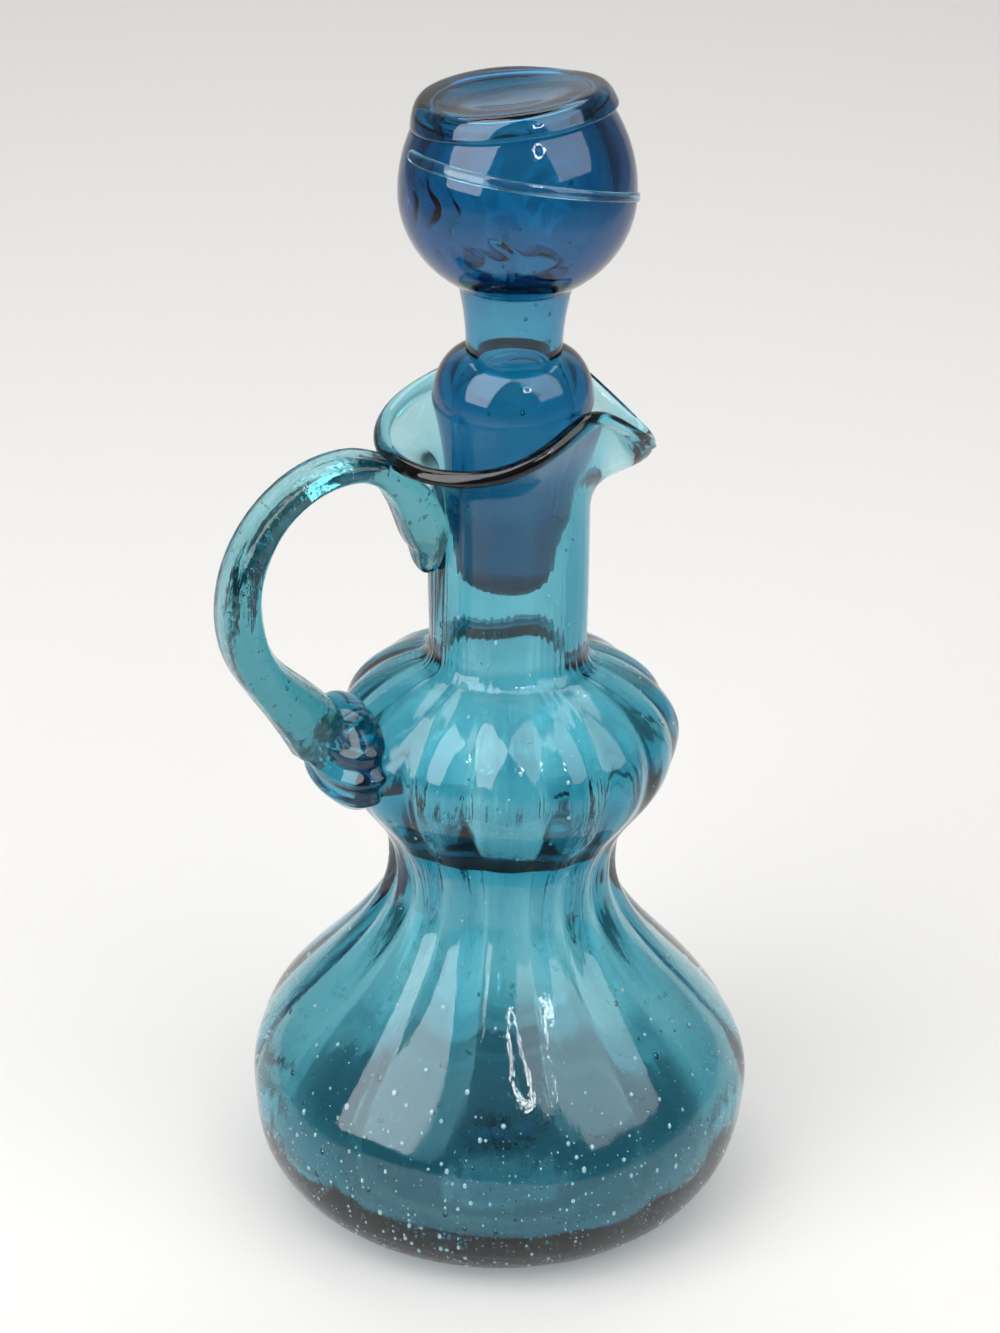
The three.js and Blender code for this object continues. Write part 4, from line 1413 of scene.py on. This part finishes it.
def studio_floor(colour, glow, back):
    """Pale glowing floor that sweeps up into a wall at the back; towards the front and sides its glow
    drops and its colour is darkened as painted shade.
    """
    flat, sweep, sides = FLOOR_FLAT, FLOOR_SWEEP, FLOOR_SIDES
    outline = path(
        (FLOOR_MIDDLE, 0),
        bezier((FLOOR_MIDDLE, 0), (flat, 0), steps=4),
        arc((flat, sweep), sweep, sweep, -math.pi / 2, 0, 14),
        bezier((flat + sweep, sweep), (flat + sweep, WALL_TOP), steps=2),
    )
    grid = turned_grid(outline, sides)
    x, y = grid[..., 0], grid[..., 1]
    towards_back = (x * back.x + y * back.y) / np.hypot(x, y)
    grid[..., 2] *= smoothstep(towards_back, -0.2, 0.4)
    points = np.vstack([[0, 0, 0], grid.reshape(-1, 3)]).tolist()
    ring = np.arange(sides)
    after = (ring + 1) % sides
    faces = np.stack([np.zeros(sides, int), 1 + ring, 1 + after], axis=1).tolist()
    low = 1 + np.arange(len(outline) - 1)[:, None] * sides
    quads = np.stack([low + ring, low + sides + ring, low + sides + after, low + after], axis=-1)
    faces += quads.reshape(-1, 4).tolist()
    mesh = bpy.data.meshes.new("studio_floor")
    mesh.from_pydata(points, [], faces)
    mesh.polygons.foreach_set("use_smooth", [True] * len(faces))
    material = bpy.data.materials.new("Studio paper")
    material.use_nodes = True
    tree = material.node_tree
    shader = tree.nodes["Principled BSDF"]
    shader.inputs["Roughness"].default_value = PAPER_ROUGHNESS
    place = tree.nodes.new("ShaderNodeTexCoord")
    ahead = value_node(tree, "ShaderNodeVectorMath", operation="DOT_PRODUCT")
    ahead.inputs[1].default_value = -back
    aside = value_node(tree, "ShaderNodeVectorMath", operation="DOT_PRODUCT")
    aside.inputs[1].default_value = back.cross((0, 0, 1))
    spread = value_node(tree, "ShaderNodeMath", operation="ABSOLUTE")
    beyond = value_node(tree, "ShaderNodeMath", operation="MULTIPLY_ADD")
    beyond.inputs[1].default_value = FADE_SIDE_SLOPE
    beyond.inputs[2].default_value = FADE_SIDE_OFFSET
    outside = value_node(tree, "ShaderNodeMath", operation="MAXIMUM")
    outside.inputs[1].default_value = 0
    away = value_node(tree, "ShaderNodeMath", operation="ADD")
    fade = band_node(tree, away.outputs["Value"], FADE_START, FADE_END)
    # Floor colour darkened towards the front and sides: painted shade
    paper = value_node(tree, "ShaderNodeMix", data_type="RGBA")
    paper.inputs["A"].default_value = (*colour, 1)
    paper.inputs["B"].default_value = (*[c * PAINTED_SHADE_PAPER for c in colour], 1)
    light = value_node(tree, "ShaderNodeMix", data_type="RGBA")
    light.inputs["A"].default_value = (*PAPER_GLOW, 1)
    light.inputs["B"].default_value = (*DIM_GLOW, 1)
    link = tree.links.new
    link(place.outputs["Object"], ahead.inputs[0])
    link(place.outputs["Object"], aside.inputs[0])
    link(aside.outputs["Value"], spread.inputs[0])
    link(spread.outputs["Value"], beyond.inputs[0])
    link(beyond.outputs["Value"], outside.inputs[0])
    link(outside.outputs["Value"], away.inputs[0])
    link(ahead.outputs["Value"], away.inputs[1])
    link(fade.outputs["Result"], paper.inputs["Factor"])
    link(fade.outputs["Result"], light.inputs["Factor"])
    link(paper.outputs["Result"], shader.inputs["Base Color"])
    link(light.outputs["Result"], shader.inputs["Emission Color"])
    shader.inputs["Emission Strength"].default_value = glow
    mesh.materials.append(material)
    return stage_object("studio_floor", mesh)


def ring_light(strength, bearing, target):
    """Thin glowing ring beside the camera."""
    u = np.linspace(0, FULL_TURN, RING_TURNS, endpoint=False)[:, None]
    v = np.linspace(0, FULL_TURN, RING_SIDES, endpoint=False)
    reach = RING_RADIUS + RING_TUBE * np.cos(v)
    grid = np.stack([reach * np.cos(u), reach * np.sin(u), RING_TUBE * np.sin(v) + 0 * u], axis=-1)
    index = np.arange(RING_TURNS * RING_SIDES).reshape(RING_TURNS, RING_SIDES)
    ahead = np.roll(index, -1, axis=0)
    beside, diagonal = np.roll(index, -1, axis=1), np.roll(ahead, -1, axis=1)
    faces = np.stack([index, ahead, diagonal, beside], axis=-1).reshape(-1, 4)
    mesh = bpy.data.meshes.new("ring_light")
    mesh.from_pydata(grid.reshape(-1, 3).tolist(), [], faces.tolist())
    material = bpy.data.materials.new("Ring glow")
    material.use_nodes = True
    shader = material.node_tree.nodes["Principled BSDF"]
    shader.inputs["Emission Color"].default_value = (1, 1, 1, 1)
    shader.inputs["Emission Strength"].default_value = strength
    mesh.materials.append(material)
    ring = stage_object("ring_light", mesh)
    place = around(bearing, RING_ELEVATION, RING_DISTANCE, LIGHT_BASE)
    ring.matrix_world = Matrix.Translation(place) @ aimed(place, target)
    ring.visible_camera = False
    return ring


def softbox(name, bearing, elevation, distance, size, power, target):
    data = bpy.data.lights.new(name, "AREA")
    data.shape = "RECTANGLE"
    data.size, data.size_y = size
    data.energy = power
    light = stage_object(name, data)
    place = around(bearing, elevation, distance, LIGHT_BASE)
    light.matrix_world = Matrix.Translation(place) @ aimed(place, target)
    light.visible_camera = False
    return light


def studio_sky(strength):
    """Light from above that dims towards the horizon."""
    world = bpy.data.worlds.new("Studio sky")
    world.use_nodes = True
    tree = world.node_tree
    place = tree.nodes.new("ShaderNodeTexCoord")
    split = tree.nodes.new("ShaderNodeSeparateXYZ")
    dim = band_node(tree, split.outputs["Z"], low=-0.1, high=0.7)
    dim.inputs["To Min"].default_value = strength * SKY_LOW_SHARE
    dim.inputs["To Max"].default_value = strength
    tree.links.new(place.outputs["Generated"], split.inputs["Vector"])
    tree.links.new(dim.outputs["Result"], tree.nodes["Background"].inputs["Strength"])
    tree.nodes["Background"].inputs["Color"].default_value = (*SKY_COLOUR, 1)
    return world


def studio_camera(stage):
    right = Vector((math.cos(stage.azimuth), math.sin(stage.azimuth), 0))
    ahead = Vector((-right.y, right.x, 0))
    look = ahead * math.cos(stage.pitch) - Vector((0, 0, math.sin(stage.pitch)))
    up = right.cross(look)
    place = right * stage.target_shift + Vector((0, 0, stage.target_height)) - look * stage.distance
    data = bpy.data.cameras.new("camera")
    data.sensor_fit = "VERTICAL"
    data.lens = data.sensor_height * stage.focal_share
    data.clip_start = 0.01
    camera = stage_object("camera", data)
    turned_to = Matrix((right, up, -look)).transposed().to_4x4()
    camera.matrix_world = Matrix.Translation(place) @ turned_to @ Matrix.Rotation(stage.roll, 4, "Z")
    bpy.context.scene.camera = camera


class GENIE_OT_stage(bpy.types.Operator):
    """Set the floor, the lights and the camera"""

    bl_idname = "genie.stage"
    bl_label = "Set Stage"

    def execute(self, context):
        scene = context.scene
        stage = scene.genie_stage
        target = Vector((0, 0, stage.target_height))
        studio_camera(stage)
        back = around(stage.azimuth + math.pi, 0, 1, 0)
        floor = studio_floor(stage.floor_colour, stage.floor_glow, back)
        ring_light(stage.ring_strength, stage.azimuth + 0.42, target)
        for name, (bearing, elevation, distance, size) in SOFTBOXES.items():
            turned_to = stage.azimuth + math.radians(bearing)
            aim = back * BACKDROP_REACH if name == "backdrop_light" else target
            softbox(name, turned_to, math.radians(elevation), distance, size, getattr(stage, name), aim)
        scene.world = studio_sky(stage.sky_strength)
        scene.view_settings.view_transform = "Standard"
        scene.cycles.max_bounces = GLASS_BOUNCES
        scene.cycles.transmission_bounces = GLASS_BOUNCES
        scene.cycles.glossy_bounces = GLOSS_BOUNCES
        return {"FINISHED"}


class GENIE_PT_sidebar(bpy.types.Panel):
    """Sizes and steps of the genie bottle"""

    bl_idname = "GENIE_PT_sidebar"
    bl_label = "Genie Bottle"
    bl_space_type = "VIEW_3D"
    bl_region_type = "UI"
    bl_category = "Genie Bottle"

    def draw(self, context):
        for operator in OPERATORS:
            self.layout.operator(operator.bl_idname)
        for name in SETTINGS:
            box = self.layout.box()
            group = getattr(context.scene, name)
            for prop in group.bl_rna.properties:
                if prop.identifier not in {"rna_type", "name"}:
                    box.prop(group, prop.identifier)


SETTINGS = {
    "genie_body": BodySizes,
    "genie_handle": HandleSizes,
    "genie_stopper": StopperSizes,
    "genie_looks": GlassLooks,
    "genie_stage": StageSettings,
}
OPERATORS = (GENIE_OT_body, GENIE_OT_handle, GENIE_OT_stopper, GENIE_OT_stage)


def register():
    for cls in (*SETTINGS.values(), *OPERATORS, GENIE_PT_sidebar):
        bpy.utils.register_class(cls)
    for name, group in SETTINGS.items():
        setattr(bpy.types.Scene, name, PointerProperty(type=group))


def unregister():
    for name in SETTINGS:
        delattr(bpy.types.Scene, name)
    for cls in reversed((*SETTINGS.values(), *OPERATORS, GENIE_PT_sidebar)):
        bpy.utils.unregister_class(cls)


def main():
    register()
    bpy.ops.genie.body()
    bpy.ops.genie.handle()
    bpy.ops.genie.stopper()
    bpy.ops.genie.stage()
    bpy.context.view_layer.update()


if __name__ == "__main__":
    main()
